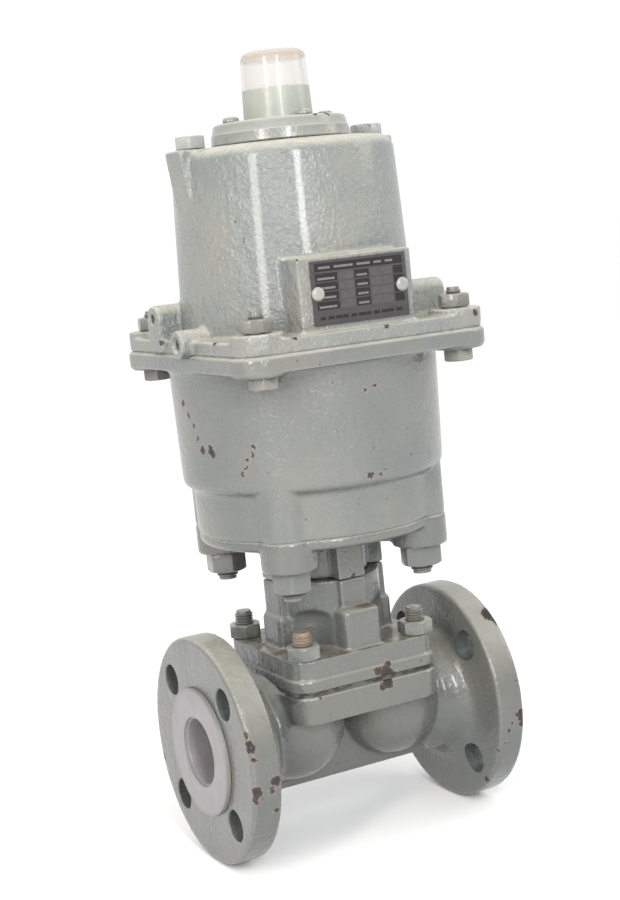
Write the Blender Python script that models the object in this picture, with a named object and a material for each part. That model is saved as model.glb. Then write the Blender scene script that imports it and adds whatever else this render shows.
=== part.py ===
"""Air-operated weir diaphragm valve, DN40: flanged lined body, bonnet, yoke and spring-return cylinder.

Metres, +Z up. The pipe runs along X, the stem stands on Z, and Z = 0 is the foot of the pipe flanges.
The stem can rise 18 mm, and that much room is left above every piece that moves with it.
"""
import math

import bmesh
import bpy
from mathutils import Matrix

GAP = 0.0003  # clearance between touching pieces
OVER = 0.002  # how far a cutting tool runs past the face it leaves by

# Pipe ends: JIS 10K, DN40
PIPE_Z = 0.070
FLANGE_R = 0.070
FLANGE_X = 0.0946
FLANGE_BACK_X = 0.0763
FLANGE_EDGE = 0.001
BOLT_CIRCLE_R = 0.0525
BOLT_HOLE_R = 0.0095
BORE_R = 0.020
BORE_MOUTH_R = 0.023
LINER_WALL = 0.003
LINER_FACE_R = 0.0395
LINER_FACE_X = 0.0975

# Body lobes, web, bowl and weir
NECK_R = 0.0365
TUBE_R = 0.030
LOBE_X = 0.0355
LOBE_Z = PIPE_Z + 0.0055
LOBE_RADII = (0.0350, 0.0385, 0.0362)
DUCT_ROUTE = ((0.060, 0.0), (0.046, 0.002), (0.033, 0.007), (0.022, 0.012), (0.013, 0.015))
WEB_HALF_Y = 0.0035
WEB_BOTTOM_Z = PIPE_Z - 0.0365
BOWL_Z = 0.103
BOWL_RADII = (0.031, 0.0275, 0.022)
BOWL_WALL = 0.0085
WEIR_TOP_HALF_X = 0.0048
WEIR_SLOPE = 0.6
CREST_Z = 0.084

# Square joint between body and bonnet
JOINT_HALF = 0.0505
JOINT_CORNER_R = 0.013
JOINT_BOTTOM_Z = 0.0845
JOINT_Z = 0.1018
SHEET_HALF = 0.0492
SHEET_THICKNESS = 0.0010
FACING_Z = JOINT_Z + GAP
BACKING_Z = FACING_Z + SHEET_THICKNESS + GAP
STUD_XY = 0.0395
STUD_R = 0.0058
STUD_TOP_Z = 0.1404
DRAPE_R = 0.0265
DRAPE_FLAT_R = 0.0062
DRAPE_DROP = 0.0178

# Bonnet
BONNET_Z = BACKING_Z + SHEET_THICKNESS + GAP
BONNET_STEP_Z = 0.1115
BONNET_TOP_Z = 0.1235
BONNET_HALF = 0.0492
COLUMN_TOP_Z = 0.165
COLUMN_CORE_R = 0.0345
RIB_REACH = 0.0375
SIDE_RIB_HALF = 0.011
FRONT_RIB_HALF = 0.009
BLOCK_HALF = 0.0125
FRONT_BLOCK_REACH = 0.046
FRONT_BLOCK_TOP_Z = 0.147
SIDE_BLOCK_REACH = 0.0400
SIDE_BLOCK_TOP_Z = 0.144
SCOOP_R = 0.027
SCOOP_TOP_Z = 0.149
CHAMBER_R = 0.0243
CHAMBER_TOP_Z = 0.140

# Stem and what hangs on it
STEM_R = 0.008
STEM_HOLE_R = STEM_R + GAP
STEM_BOTTOM_Z = 0.0995
STEM_SHOULDER_Z = 0.2307
STEM_NECK_R = 0.006
STEM_TOP_Z = 0.268
COMPRESSOR_HUB_R = 0.0135
COMPRESSOR_TOP_Z = 0.117
PIN_R = 0.0025
PIN_Z = 0.110
PIN_HALF = 0.0118
INSERT_HEAD_R = 0.005
INSERT_R = 0.0025
INSERT_TOP_Z = 0.0975

# Yoke plate
YOKE_Z = COLUMN_TOP_Z + GAP
YOKE_CORE_R = 0.028
YOKE_ARM_HALF = 0.010
YOKE_ARM_Z = 0.183
YOKE_LIP_Z = 0.192
YOKE_TOP_Z = 0.198
YOKE_R = 0.074
BOSS_XY = 0.045
BOSS_R = 0.017
BOSS_Z = 0.180
TIE_STUD_R = 0.0068
TIE_STUD_Z = (0.162, 0.2215)
BUSH_R = 0.012
BUSH_Z = (0.168, 0.184)
GLAND_R = 0.013
GLAND_Z = (0.1873, 0.1940)

# Cylinder, the lower casing
CYLINDER_Z = YOKE_TOP_Z + GAP
CYLINDER_FOOT_R = 0.0745
LEDGE_Z = (0.2265, 0.2310)
CYLINDER_R = 0.0805
CYLINDER_TOP_R = 0.082
CYLINDER_BORE_R = 0.070
BORE_STEPS = 36
CYLINDER_FLOOR_Z = 0.226
CYLINDER_HUB_R = 0.016
CYLINDER_RECESS_R = 0.060
CYLINDER_RECESS_Z = 0.214
TIE_BOSS_R = 0.0168
TIE_BOSS_TOP_Z = 0.2315
CASING_JOINT_Z = 0.310
CASING_HALF = (0.083, 0.090)
CASING_FLANGE_Z = 0.3005
CASING_PAD_Z = 0.2985
CASING_PAD_R = 0.0152
CASING_BOLT_AT = (0.0656, 0.0741)
CASING_BOLT_R = 0.0048
SEAL_R = (0.0718, 0.0745)
SEAL_GROOVE_Z = 0.3078
AIR_DRILL_X = -0.077
AIR_DRILL_R = 0.002
AIR_INLET_Z = 0.2350

# Spring cover, the upper casing
COVER_Z = CASING_JOINT_Z + GAP
COVER_FLANGE_TOP_Z = 0.319
COVER_PAD_Z = 0.3227
COVER_HALF = (0.0815, 0.0885)
COVER_R = 0.0718
COVER_TOP_R = 0.0675
COVER_SHOULDER_R = 0.009
COVER_TOP_Z = 0.429
COVER_MOUTH_R = 0.0655
COVER_ROOF_R = 0.0605
COVER_ROOF_Z = 0.421
LUG_X = 0.060
LUG_HALF = 0.01075
LUG_REACH = 0.0730
LUG_Z = (0.398, 0.4293)
PAD_Y = 0.0785
PAD_X = (-0.039, 0.036)
PAD_TOP_Z = 0.3614
EYE_Y = (0.021, 0.038)
EYE_REACH = 0.084
EYE_HOLE_Z = 0.3315
EYE_HOLE_R = 0.00325
PORT_Y = -0.0125
PORT_Z = 0.3175
PORT_BOSS_R = 0.0085
PORT_REACH = 0.0885
PORT_HOLE_R = 0.0041
PORT_DEPTH = 0.015

# Piston and springs
PISTON_R = CYLINDER_BORE_R - GAP
PISTON_Z = STEM_SHOULDER_Z + GAP
PISTON_FLOOR_Z = 0.243
PISTON_TOP_Z = 0.276
PISTON_SKIRT_R = 0.0585
PISTON_GROOVE_R = 0.0655
PACKING_Z = (0.247, 0.253)
WEAR_RING_Z = (0.262, 0.269)
PISTON_HUB_R = 0.018
PISTON_HUB_Z = 0.252
OUTER_SPRING_R = 0.0510
OUTER_WIRE_R = 0.0042
OUTER_TURNS = 6
INNER_SPRING_R = 0.0310
INNER_WIRE_R = 0.0030
INNER_TURNS = 8

# Cap, dome and indicator
CAP_Z = COVER_TOP_Z + 0.0013
CAP_TOP_Z = 0.443
CAP_R = 0.042
CAP_TOP_R = 0.040
CAP_SCREW_CIRCLE_R = 0.032
CAP_SCREW_HEAD_R = 0.005
CAP_SCREW_HEAD = 0.0035
CAP_SCREW_R = 0.0023
CAP_SCREW_Z = 0.4235
CAP_SOCKET_R = 0.0172
CAP_SOCKET_Z = 0.437
DOME_Z = CAP_TOP_Z + GAP
DOME_R = 0.021
DOME_TOP_R = 0.0197
DOME_TOP_Z = 0.484
DOME_EDGE_R = 0.0055
DOME_WALL = 0.002
DOME_SPIGOT_R = CAP_SOCKET_R - GAP
ROD_R = 0.003
ROD_HOLE_R = ROD_R + 0.0004
ROD_Z = (0.2565, 0.4515)
KNOB_R = 0.008
KNOB_Z = (0.447, 0.4555)
KNOB_BORE_TOP_Z = 0.4518

# Fasteners
JOINT_NUT_FLATS = 0.019
JOINT_NUT_HEIGHT = 0.0083
TIE_NUT_FLATS = 0.022
TIE_NUT_HEIGHT = 0.0125
CASING_NUT_FLATS = 0.0165
CASING_NUT_HEIGHT = 0.0079
CASING_HEAD_HEIGHT = 0.0070
CASING_BOLT_TOP_Z = 0.3348
PISTON_NUT_FLATS = 0.019
PISTON_NUT_HEIGHT = 0.009
COVER_BOLT_R = 0.0047
COVER_BOLT_FLATS = 0.017
COVER_BOLT_Z = (0.4058, 0.4370)

# Name plate
PLATE_HALF_X = 0.03125
PLATE_Z = (0.3225, 0.3590)
PLATE_THICKNESS = 0.0008
RIVET_X = 0.0278
RIVET_Z = 0.3405
RIVET_HEAD_R = 0.0042
RIVET_HEAD = 0.0018
RIVET_R = 0.0015
RIVET_DEPTH = 0.005

CORNERS = ((1, 1), (-1, 1), (-1, -1), (1, -1))
ALONG_Y = Matrix.Rotation(math.pi / 2, 4, "X")  # an outline in XZ, extruded along Y
FACING_X = Matrix.Rotation(math.pi / 2, 4, "Z") @ ALONG_Y  # an outline in YZ, extruded along X


def along_x(side=1):
    """Turn that lays +Z along +X, or along -X for side -1."""
    return Matrix.Rotation(side * math.pi / 2, 4, "Y")


def clear_scene():
    """Remove every object, so that the script starts from an empty scene."""
    for old in list(bpy.data.objects):
        bpy.data.objects.remove(old, do_unlink=True)


def finish(name, colour, roughness, metallic=0.0, alpha=1.0):
    """A plain Principled material."""
    material = bpy.data.materials.new(name)
    material.use_nodes = True
    shader = material.node_tree.nodes["Principled BSDF"]
    shader.inputs["Base Color"].default_value = (*colour, 1.0)
    shader.inputs["Roughness"].default_value = roughness
    shader.inputs["Metallic"].default_value = metallic
    shader.inputs["Alpha"].default_value = alpha
    return material


def add_piece(name, mesh, material):
    """Link a mesh as a piece of the valve."""
    piece = bpy.data.objects.new(name, mesh)
    bpy.context.collection.objects.link(piece)
    mesh.materials.clear()
    mesh.materials.append(material)
    return piece


def add_tool(name, mesh):
    """Link a mesh as a hidden tool that only shapes others."""
    tool = bpy.data.objects.new(name, mesh)
    bpy.context.collection.objects.link(tool)
    tool.hide_render = True
    tool.display_type = "WIRE"
    return tool


def add_copies(name, mesh, places, material):
    """Numbered pieces that share one mesh."""
    for number, place in enumerate(places, start=1):
        add_piece(f"{name}_{number}", mesh, material).location = place


def at_corners(half_x, half_y):
    """The four corners of a rectangle round the stem."""
    return [(sign_x * half_x, sign_y * half_y, 0.0) for sign_x, sign_y in CORNERS]


def to_mesh(bm, name, turn=None):
    """Turn a bmesh into a mesh with outward faces, smooth except at real edges."""
    bmesh.ops.remove_doubles(bm, verts=bm.verts, dist=1e-6)
    bmesh.ops.recalc_face_normals(bm, faces=bm.faces)
    if turn:
        bmesh.ops.transform(bm, matrix=turn, verts=bm.verts)
    mesh = bpy.data.meshes.new(name)
    bm.to_mesh(mesh)
    bm.free()
    mesh.shade_smooth()
    mesh.set_sharp_from_angle(angle=math.radians(35))
    return mesh


def turned(name, outline, steps=32, turn=None):
    """Spin a (radius, height) outline round Z; it is a ring, or starts and ends on the axis."""
    bm = bmesh.new()
    points = [bm.verts.new((radius, 0.0, height)) for radius, height in outline]
    if outline[0][0] > 0:
        points.append(points[0])
    for start, end in zip(points, points[1:]):
        bm.edges.new((start, end))
    bmesh.ops.spin(
        bm,
        geom=bm.verts[:] + bm.edges[:],
        cent=(0, 0, 0),
        axis=(0, 0, 1),
        angle=2 * math.pi,
        steps=steps,
        use_merge=True,
    )
    bmesh.ops.remove_doubles(bm, verts=bm.verts, dist=1e-6)
    flat_centres = [
        vert
        for vert in bm.verts
        if math.hypot(vert.co.x, vert.co.y) < 1e-6
        and all(abs(edge.other_vert(vert).co.z - vert.co.z) < 1e-6 for edge in vert.link_edges)
    ]
    bmesh.ops.dissolve_verts(bm, verts=flat_centres)
    return to_mesh(bm, name, turn)


def bar(name, radius, low, high, steps=16, turn=None, chamfer=0.0):
    """A round bar from low to high, with both ends chamfered."""
    outline = [(0, low), (radius, low + chamfer), (radius, high - chamfer), (0, high)]
    if chamfer:
        outline.insert(1, (radius - chamfer, low))
        outline.insert(-1, (radius - chamfer, high))
    return turned(name, outline, steps, turn)


def ring(name, inner, outer, low, high, steps=28):
    """A flat ring."""
    return turned(name, [(outer, high), (outer, low), (inner, low), (inner, high)], steps)


def prism(name, outline, low, high, turn=None):
    """Extrude a flat outline of (x, y) points from low to high."""
    bm = bmesh.new()
    face = bm.faces.new([bm.verts.new((x, y, low)) for x, y in outline])
    top = bmesh.ops.extrude_face_region(bm, geom=[face])["geom"]
    raised = [item for item in top if isinstance(item, bmesh.types.BMVert)]
    bmesh.ops.translate(bm, verts=raised, vec=(0, 0, high - low))
    return to_mesh(bm, name, turn)


def block(name, low, high, turn=None):
    """A box between two corners."""
    outline = [(low[0], low[1]), (high[0], low[1]), (high[0], high[1]), (low[0], high[1])]
    return prism(name, outline, low[2], high[2], turn)


def ellipsoid(name, centre, radii, segments=18, rings=10):
    """A ball stretched to three radii."""
    bm = bmesh.new()
    bmesh.ops.create_uvsphere(bm, u_segments=segments, v_segments=rings, radius=1.0)
    return to_mesh(bm, name, Matrix.Translation(centre) @ Matrix.Diagonal((*radii, 1.0)))


def rounded(half_x, half_y, corner, steps=4):
    """Outline of a rectangle with round corners."""
    points = []
    for quarter, (sign_x, sign_y) in enumerate(CORNERS):
        for step in range(steps + 1):
            angle = math.pi / 2 * (quarter + step / steps)
            x = sign_x * (half_x - corner) + corner * math.cos(angle)
            y = sign_y * (half_y - corner) + corner * math.sin(angle)
            points.append((x, y))
    return points


def hexagon(flats):
    """Outline of a hexagon given across its flats."""
    radius = flats / math.sqrt(3)
    return [(radius * math.cos(math.pi / 3 * k), radius * math.sin(math.pi / 3 * k)) for k in range(6)]


def combine(piece, mesh, operation, place):
    """Add a live Boolean with a hidden tool."""
    tool = add_tool(f"{piece.name}_tool_{len(piece.modifiers)}", mesh)
    tool.location = place
    boolean = piece.modifiers.new(operation.lower(), "BOOLEAN")
    boolean.operation = operation
    boolean.solver = "EXACT"
    boolean.object = tool


def join(piece, mesh, place=(0, 0, 0)):
    """Grow a piece by a tool."""
    combine(piece, mesh, "UNION", place)


def cut(piece, mesh, place=(0, 0, 0)):
    """Cut a tool out of a piece."""
    combine(piece, mesh, "DIFFERENCE", place)


def face_below(piece, low_z):
    """Machine the underside of a piece flat at low_z."""
    cut(piece, block("below", (-0.120, -0.120, low_z - 0.020), (0.120, 0.120, low_z)))


def face_above(piece, high_z):
    """Machine the top of a piece flat at high_z."""
    cut(piece, block("above", (-0.120, -0.120, high_z), (0.120, 0.120, high_z + 0.020)))


def shaped(tool):
    """A tool's mesh with its modifiers applied, to shape another piece with."""
    bpy.context.view_layer.update()
    graph = bpy.context.evaluated_depsgraph_get()
    bm = bmesh.new()
    bm.from_mesh(bpy.data.meshes.new_from_object(tool.evaluated_get(graph), depsgraph=graph))
    return to_mesh(bm, tool.name)


# Valve body, liner and diaphragm


def drape(low_z, steps=5):
    """Outline of the pressed-in bowl of a sheet whose flat rim is at low_z, from the axis outward."""
    outline = [(0, low_z - DRAPE_DROP)]
    for step in range(steps + 1):
        share = step / steps
        sink = DRAPE_DROP * (1 + math.cos(math.pi * share)) / 2
        outline.append((DRAPE_FLAT_R + (DRAPE_R - DRAPE_FLAT_R) * share, low_z - sink))
    return outline


def weir(growth):
    """The saddle across the passage, thinner by growth all round; the closed diaphragm shapes its top."""
    foot_z = PIPE_Z - 0.040
    top = WEIR_TOP_HALF_X - growth
    foot = top + WEIR_SLOPE * (CREST_Z - foot_z)
    outline = [(foot, foot_z), (top, CREST_Z), (top, JOINT_Z + OVER)]
    outline += [(-x, z) for x, z in outline[::-1]]
    saddle = add_tool(f"weir_{growth:.4f}", prism("weir", outline, -0.040, 0.040, ALONG_Y))
    seat = drape(JOINT_Z - growth)
    above = JOINT_Z + 0.010
    cut(saddle, turned("seat", seat + [(0.050, seat[-1][1]), (0.050, above), (0, above)], 20))
    return shaped(saddle)


def duct(growth, side, mouth):
    """One bent bore from its mouth, of (x, radius) points, up to the weir."""
    route = bpy.data.curves.new("duct_route", "CURVE")
    route.dimensions = "3D"
    route.bevel_depth = 1.0
    route.bevel_resolution = 3
    route.use_fill_caps = True
    stations = [(x, 0.0, radius) for x, radius in mouth]
    stations += [(x - growth * (x == DUCT_ROUTE[-1][0]), rise, BORE_R + growth) for x, rise in DUCT_ROUTE]
    line = route.splines.new("POLY")
    line.points.add(len(stations) - 1)
    for point, (x, rise, radius) in zip(line.points, stations):
        point.co = (side * x, 0, PIPE_Z + rise, 1)
        point.radius = radius
    return shaped(add_tool(f"duct_{side}_{growth:.4f}", route))


def passage(growth, mouth):
    """The flow passage, larger by growth: the bowl and two ducts, less the weir."""
    bowl = ellipsoid("bowl", (0, 0, BOWL_Z), [radius + growth for radius in BOWL_RADII])
    space = add_tool(f"passage_{growth:.4f}", bowl)
    for side in (-1, 1):
        join(space, duct(growth, side, mouth))
    cut(space, weir(growth))
    return shaped(space)


def pipe_end(side):
    """Neck, hub fillet and pipe flange, turned round the pipe."""
    outline = [
        (0, LOBE_X),
        (TUBE_R, LOBE_X),
        (TUBE_R, 0.056),
        (NECK_R, 0.067),
        (0.0455, FLANGE_BACK_X),
        (FLANGE_R - FLANGE_EDGE, FLANGE_BACK_X),
        (FLANGE_R, FLANGE_BACK_X + FLANGE_EDGE),
        (FLANGE_R, FLANGE_X - FLANGE_EDGE),
        (FLANGE_R - FLANGE_EDGE, FLANGE_X),
        (0, FLANGE_X),
    ]
    return turned("pipe_end", outline, 36, along_x(side))


def above_joint():
    """Everything above the joint face of the body."""
    return block("above_joint", (-0.060, -0.060, JOINT_Z), (0.060, 0.060, 0.170))


def make_valve_body(material):
    """Casting: a square flange on two lobes that end in pipe flanges, hollowed for the liner."""
    square = rounded(JOINT_HALF, JOINT_HALF, JOINT_CORNER_R)
    body = add_piece("valve_body", prism("valve_body", square, JOINT_BOTTOM_Z, JOINT_Z), material)
    bowl_wall = [radius + BOWL_WALL for radius in BOWL_RADII]
    join(body, ellipsoid("bowl_wall", (0, 0, BOWL_Z), bowl_wall))
    for side in (-1, 1):
        join(body, ellipsoid("lobe", (side * LOBE_X, 0, LOBE_Z), LOBE_RADII))
        join(body, pipe_end(side), (0, 0, PIPE_Z))
    reach = FLANGE_BACK_X + OVER
    join(body, block("web", (-reach, -WEB_HALF_Y, WEB_BOTTOM_Z), (reach, WEB_HALF_Y, BOWL_Z - 0.010)))
    cut(body, above_joint())
    outside = BORE_R + LINER_WALL + GAP
    cut(body, passage(LINER_WALL + GAP, [(FLANGE_X + OVER, outside)]))
    hole_at = BOLT_CIRCLE_R / math.sqrt(2)
    for side in (-1, 1):
        for sign_y, sign_z in CORNERS:
            hole = bar("bolt_hole", BOLT_HOLE_R, FLANGE_BACK_X - OVER, FLANGE_X + OVER, 16, along_x(side))
            cut(body, hole, (0, sign_y * hole_at, PIPE_Z + sign_z * hole_at))
    for place in at_corners(STUD_XY, STUD_XY):
        cut(body, bar("stud_hole", STUD_R + GAP, JOINT_BOTTOM_Z + 0.003, JOINT_Z + OVER, 12), place)


def make_body_liner(material):
    """Lining of the passage, out over both pipe faces, its rim flush in the square joint."""
    outside = BORE_R + LINER_WALL
    liner = add_piece("body_liner", passage(LINER_WALL, [(FLANGE_X + LINER_WALL / 2, outside)]), material)
    inner = BORE_R + LINER_WALL / 2
    low, high = FLANGE_X + GAP, LINER_FACE_X
    for side in (-1, 1):
        face = [(LINER_FACE_R, high), (LINER_FACE_R, low), (inner, low), (inner, high)]
        join(liner, turned("pipe_face", face, 36, along_x(side)), (0, 0, PIPE_Z))
    cut(liner, above_joint())
    cut(liner, passage(0.0, [(high + OVER, BORE_MOUTH_R + OVER), (low, BORE_R)]))


def make_sheet(name, low_z, material):
    """One square layer of the diaphragm, pressed into a bowl over the weir."""
    square = rounded(SHEET_HALF, SHEET_HALF, JOINT_CORNER_R)
    top_z = low_z + SHEET_THICKNESS
    sheet = add_piece(name, prism(name, square, low_z, top_z), material)
    cut(sheet, bar("bowl_hole", DRAPE_R, low_z - OVER, top_z + OVER, 20))
    rim = [(DRAPE_R + 0.001, top_z), (DRAPE_R + 0.001, low_z)]
    join(sheet, turned("bowl", drape(top_z) + rim + drape(low_z)[::-1], 20))
    for place in at_corners(STUD_XY, STUD_XY):
        cut(sheet, bar("stud_hole", STUD_R + GAP, low_z - OVER, top_z + OVER, 12), place)
    return sheet


def make_diaphragm(fluoropolymer, rubber, steel):
    """Fluoropolymer facing, rubber backing, and the stud that ties the facing to the compressor."""
    make_sheet("diaphragm_facing", FACING_Z, fluoropolymer)
    backing = make_sheet("diaphragm_backing", BACKING_Z, rubber)
    centre_z = BACKING_Z - DRAPE_DROP
    cut(backing, bar("insert_hole", INSERT_HEAD_R + GAP, centre_z - OVER, centre_z + 2 * OVER, 16))
    head_top = centre_z + SHEET_THICKNESS
    outline = [(0, centre_z), (INSERT_HEAD_R, centre_z), (INSERT_HEAD_R, head_top)]
    outline += [(INSERT_R, head_top), (INSERT_R, INSERT_TOP_Z), (0, INSERT_TOP_Z)]
    add_piece("diaphragm_stud", turned("diaphragm_stud", outline, 16), steel)


def make_compressor(iron, steel):
    """Presser that follows the diaphragm's bowl, pinned across the foot of the stem."""
    under = drape(BACKING_Z + SHEET_THICKNESS + GAP)[:-1]
    side = [(under[-1][0], under[-1][1] + 0.003)]
    hub = [(COMPRESSOR_HUB_R, PIN_Z - 0.004), (COMPRESSOR_HUB_R, COMPRESSOR_TOP_Z), (0, COMPRESSOR_TOP_Z)]
    compressor = add_piece("compressor", turned("compressor", under + side + hub, 20), iron)
    cut(compressor, bar("stem_hole", STEM_HOLE_R, STEM_BOTTOM_Z - GAP, COMPRESSOR_TOP_Z + OVER))
    cut(compressor, bar("insert_hole", INSERT_R + GAP, CREST_Z, STEM_BOTTOM_Z + OVER, 12))
    cut(compressor, pin_hole())
    pin = bar("compressor_pin", PIN_R, -PIN_HALF, PIN_HALF, 12, pin_turn(), 0.0005)
    add_piece("compressor_pin", pin, steel)


def pin_turn():
    """Place of the compressor pin, which runs along Y."""
    return Matrix.Translation((0, 0, PIN_Z)) @ ALONG_Y


def pin_hole():
    """Tool for the pin's hole."""
    return bar("pin_hole", PIN_R + GAP, -DRAPE_R, DRAPE_R, 12, pin_turn())


# Bonnet and yoke


def leg_blocks(low_z, high_z):
    """The four ribs of the column, as boxes."""
    side = block("side_rib", (-RIB_REACH, -SIDE_RIB_HALF, low_z), (RIB_REACH, SIDE_RIB_HALF, high_z))
    front = block("front_rib", (-FRONT_RIB_HALF, -RIB_REACH, low_z), (FRONT_RIB_HALF, RIB_REACH, high_z))
    return [side, front]


def make_bonnet(material):
    """Square flange with a ribbed column, scooped out at its corners for the studs."""
    step = rounded(JOINT_HALF, JOINT_HALF, JOINT_CORNER_R)
    flange = rounded(BONNET_HALF, BONNET_HALF, JOINT_CORNER_R)
    bonnet = add_piece("bonnet", prism("bonnet", step, BONNET_Z, BONNET_STEP_Z), material)
    join(bonnet, prism("flange", flange, BONNET_STEP_Z - OVER, BONNET_TOP_Z))
    inside = BONNET_TOP_Z - OVER
    column = add_tool("column", bar("core", COLUMN_CORE_R, inside, COLUMN_TOP_Z, 40))
    scoop = [(0, BONNET_TOP_Z), (SCOOP_R, BONNET_TOP_Z), (SCOOP_R, SCOOP_TOP_Z - 0.008)]
    scoop += [(SCOOP_R - 0.003, SCOOP_TOP_Z - 0.003), (SCOOP_R - 0.009, SCOOP_TOP_Z), (0, SCOOP_TOP_Z)]
    for place in at_corners(STUD_XY, STUD_XY):
        cut(column, turned("scoop", scoop, 32), place)
    join(bonnet, shaped(column))
    for rib in leg_blocks(inside, COLUMN_TOP_Z):
        join(bonnet, rib)
    front_top, side_top = FRONT_BLOCK_TOP_Z, SIDE_BLOCK_TOP_Z
    front = [(FRONT_BLOCK_REACH, inside), (FRONT_BLOCK_REACH, front_top - 0.005)]
    front += [(FRONT_BLOCK_REACH - 0.004, front_top - 0.001), (RIB_REACH - 0.001, front_top + 0.003)]
    front += [(-x, z) for x, z in front[::-1]]
    join(bonnet, prism("front_block", front, -BLOCK_HALF, BLOCK_HALF, FACING_X))
    side = [(SIDE_BLOCK_REACH, inside), (SIDE_BLOCK_REACH, side_top), (RIB_REACH - 0.001, side_top + 0.004)]
    side += [(-x, z) for x, z in side[::-1]]
    join(bonnet, prism("side_block", side, -BLOCK_HALF, BLOCK_HALF, ALONG_Y))
    chamber = [(0, BONNET_Z - OVER), (CHAMBER_R, BONNET_Z - OVER), (CHAMBER_R, CHAMBER_TOP_Z - 0.005)]
    chamber += [(CHAMBER_R - 0.005, CHAMBER_TOP_Z), (STEM_HOLE_R, CHAMBER_TOP_Z)]
    chamber += [(STEM_HOLE_R, COLUMN_TOP_Z + OVER), (0, COLUMN_TOP_Z + OVER)]
    cut(bonnet, turned("chamber", chamber, 24))
    for place in at_corners(STUD_XY, STUD_XY):
        cut(bonnet, bar("stud_hole", STUD_R + GAP, BONNET_Z - OVER, BONNET_TOP_Z + OVER, 12), place)


def make_yoke_plate(material):
    """Round plate with four bored lobes, on four legs that stand on the bonnet."""
    top = YOKE_TOP_Z + OVER
    plate = [(0, YOKE_LIP_Z), (YOKE_R - 0.002, YOKE_LIP_Z), (YOKE_R, YOKE_LIP_Z + 0.002)]
    plate += [(YOKE_R, top), (0, top)]
    yoke = add_piece("yoke_plate", turned("yoke_plate", plate, 40), material)
    inside = YOKE_LIP_Z + OVER
    join(yoke, bar("core", YOKE_CORE_R, YOKE_Z - OVER, inside, 28))
    side_leg, front_leg = leg_blocks(YOKE_Z - OVER / 2, inside)
    join(yoke, side_leg)
    join(yoke, front_leg)
    for place in at_corners(BOSS_XY, BOSS_XY):
        angle = math.atan2(place[1], place[0])
        arm_end = (BOSS_XY * math.sqrt(2), YOKE_ARM_HALF, inside)
        arm = block("arm", (0.010, -YOKE_ARM_HALF, YOKE_ARM_Z), arm_end)
        arm.transform(Matrix.Rotation(angle, 4, "Z"))
        join(yoke, arm)
        join(yoke, bar("boss", BOSS_R, BOSS_Z, top + OVER, 28), place)
    face_above(yoke, YOKE_TOP_Z)
    face_below(yoke, YOKE_Z)
    for place in at_corners(BOSS_XY, BOSS_XY):
        cut(yoke, bar("stud_hole", TIE_STUD_R + GAP, BOSS_Z - OVER, YOKE_TOP_Z + OVER, 12), place)
    stem_hole = [(0, YOKE_Z - OVER), (BUSH_R + GAP, YOKE_Z - OVER), (BUSH_R + GAP, BUSH_Z[1] + GAP)]
    stem_hole += [(STEM_HOLE_R, BUSH_Z[1] + GAP), (STEM_HOLE_R, GLAND_Z[0] - GAP)]
    stem_hole += [(GLAND_R + GAP, GLAND_Z[0] - GAP), (GLAND_R + GAP, top), (0, top)]
    cut(yoke, turned("stem_hole", stem_hole, 20))


def make_guides(bronze, rubber):
    """Bush and packing that guide and seal the stem in the yoke plate."""
    add_piece("stem_bush", ring("stem_bush", STEM_HOLE_R, BUSH_R, *BUSH_Z, 24), bronze)
    add_piece("stem_packing", ring("stem_packing", STEM_HOLE_R, GLAND_R, *GLAND_Z, 24), rubber)


# Cylinder and spring cover


def casing_flange(half, low, high, pad_low, pad_high):
    """Rectangular casing flange with thicker round pads at its four bolts."""
    corner = half[0] - CASING_BOLT_AT[0]
    flange = add_tool("casing_flange", prism("casing_flange", rounded(*half, corner), low, high))
    for place in at_corners(*CASING_BOLT_AT):
        join(flange, bar("pad", CASING_PAD_R, pad_low, pad_high, 24), place)
    return shaped(flange)


def make_cylinder(material):
    """Lower casing: a bored cup with a stepped foot, four tie bosses and a bolting flange."""
    low = CYLINDER_Z - OVER
    high = CASING_JOINT_Z + OVER
    outline = [
        (0, low),
        (CYLINDER_HUB_R, low),
        (CYLINDER_HUB_R, CYLINDER_RECESS_Z),
        (CYLINDER_RECESS_R, CYLINDER_RECESS_Z),
        (CYLINDER_RECESS_R, low),
        (CYLINDER_FOOT_R, low),
        (CYLINDER_FOOT_R + 0.0005, LEDGE_Z[0]),
        (CYLINDER_R, LEDGE_Z[1]),
        (CYLINDER_TOP_R, high),
        (0, high),
    ]
    cylinder = add_piece("cylinder", turned("cylinder", outline, 40), material)
    for place in at_corners(BOSS_XY, BOSS_XY):
        join(cylinder, bar("tie_boss", TIE_BOSS_R, low - OVER, TIE_BOSS_TOP_Z, 28), place)
    join(cylinder, casing_flange(CASING_HALF, CASING_FLANGE_Z, high + OVER, CASING_PAD_Z, high + 2 * OVER))
    face_below(cylinder, CYLINDER_Z)
    face_above(cylinder, CASING_JOINT_Z)
    cut(cylinder, bar("bore", CYLINDER_BORE_R, CYLINDER_FLOOR_Z, high, BORE_STEPS))
    cut(cylinder, bar("stem_hole", STEM_HOLE_R, low, high))
    for place in at_corners(BOSS_XY, BOSS_XY):
        cut(cylinder, bar("stud_hole", TIE_STUD_R + GAP, low, TIE_STUD_Z[1] + GAP, 12), place)
    for place in at_corners(*CASING_BOLT_AT):
        cut(cylinder, bar("bolt_hole", CASING_BOLT_R + GAP, CASING_PAD_Z - OVER, high, 12), place)
    inner, outer = SEAL_R
    cut(cylinder, ring("seal_groove", inner - GAP, outer + GAP, SEAL_GROOVE_Z, high))
    drill = bar("air_drill", AIR_DRILL_R, AIR_INLET_Z, high, 8)
    cut(cylinder, drill, (AIR_DRILL_X, PORT_Y, 0))
    inlet = bar("air_inlet", AIR_DRILL_R - GAP, CYLINDER_BORE_R - 0.005, -AIR_DRILL_X, 8, along_x(-1))
    cut(cylinder, inlet, (0, PORT_Y, AIR_INLET_Z + AIR_DRILL_R))


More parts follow.
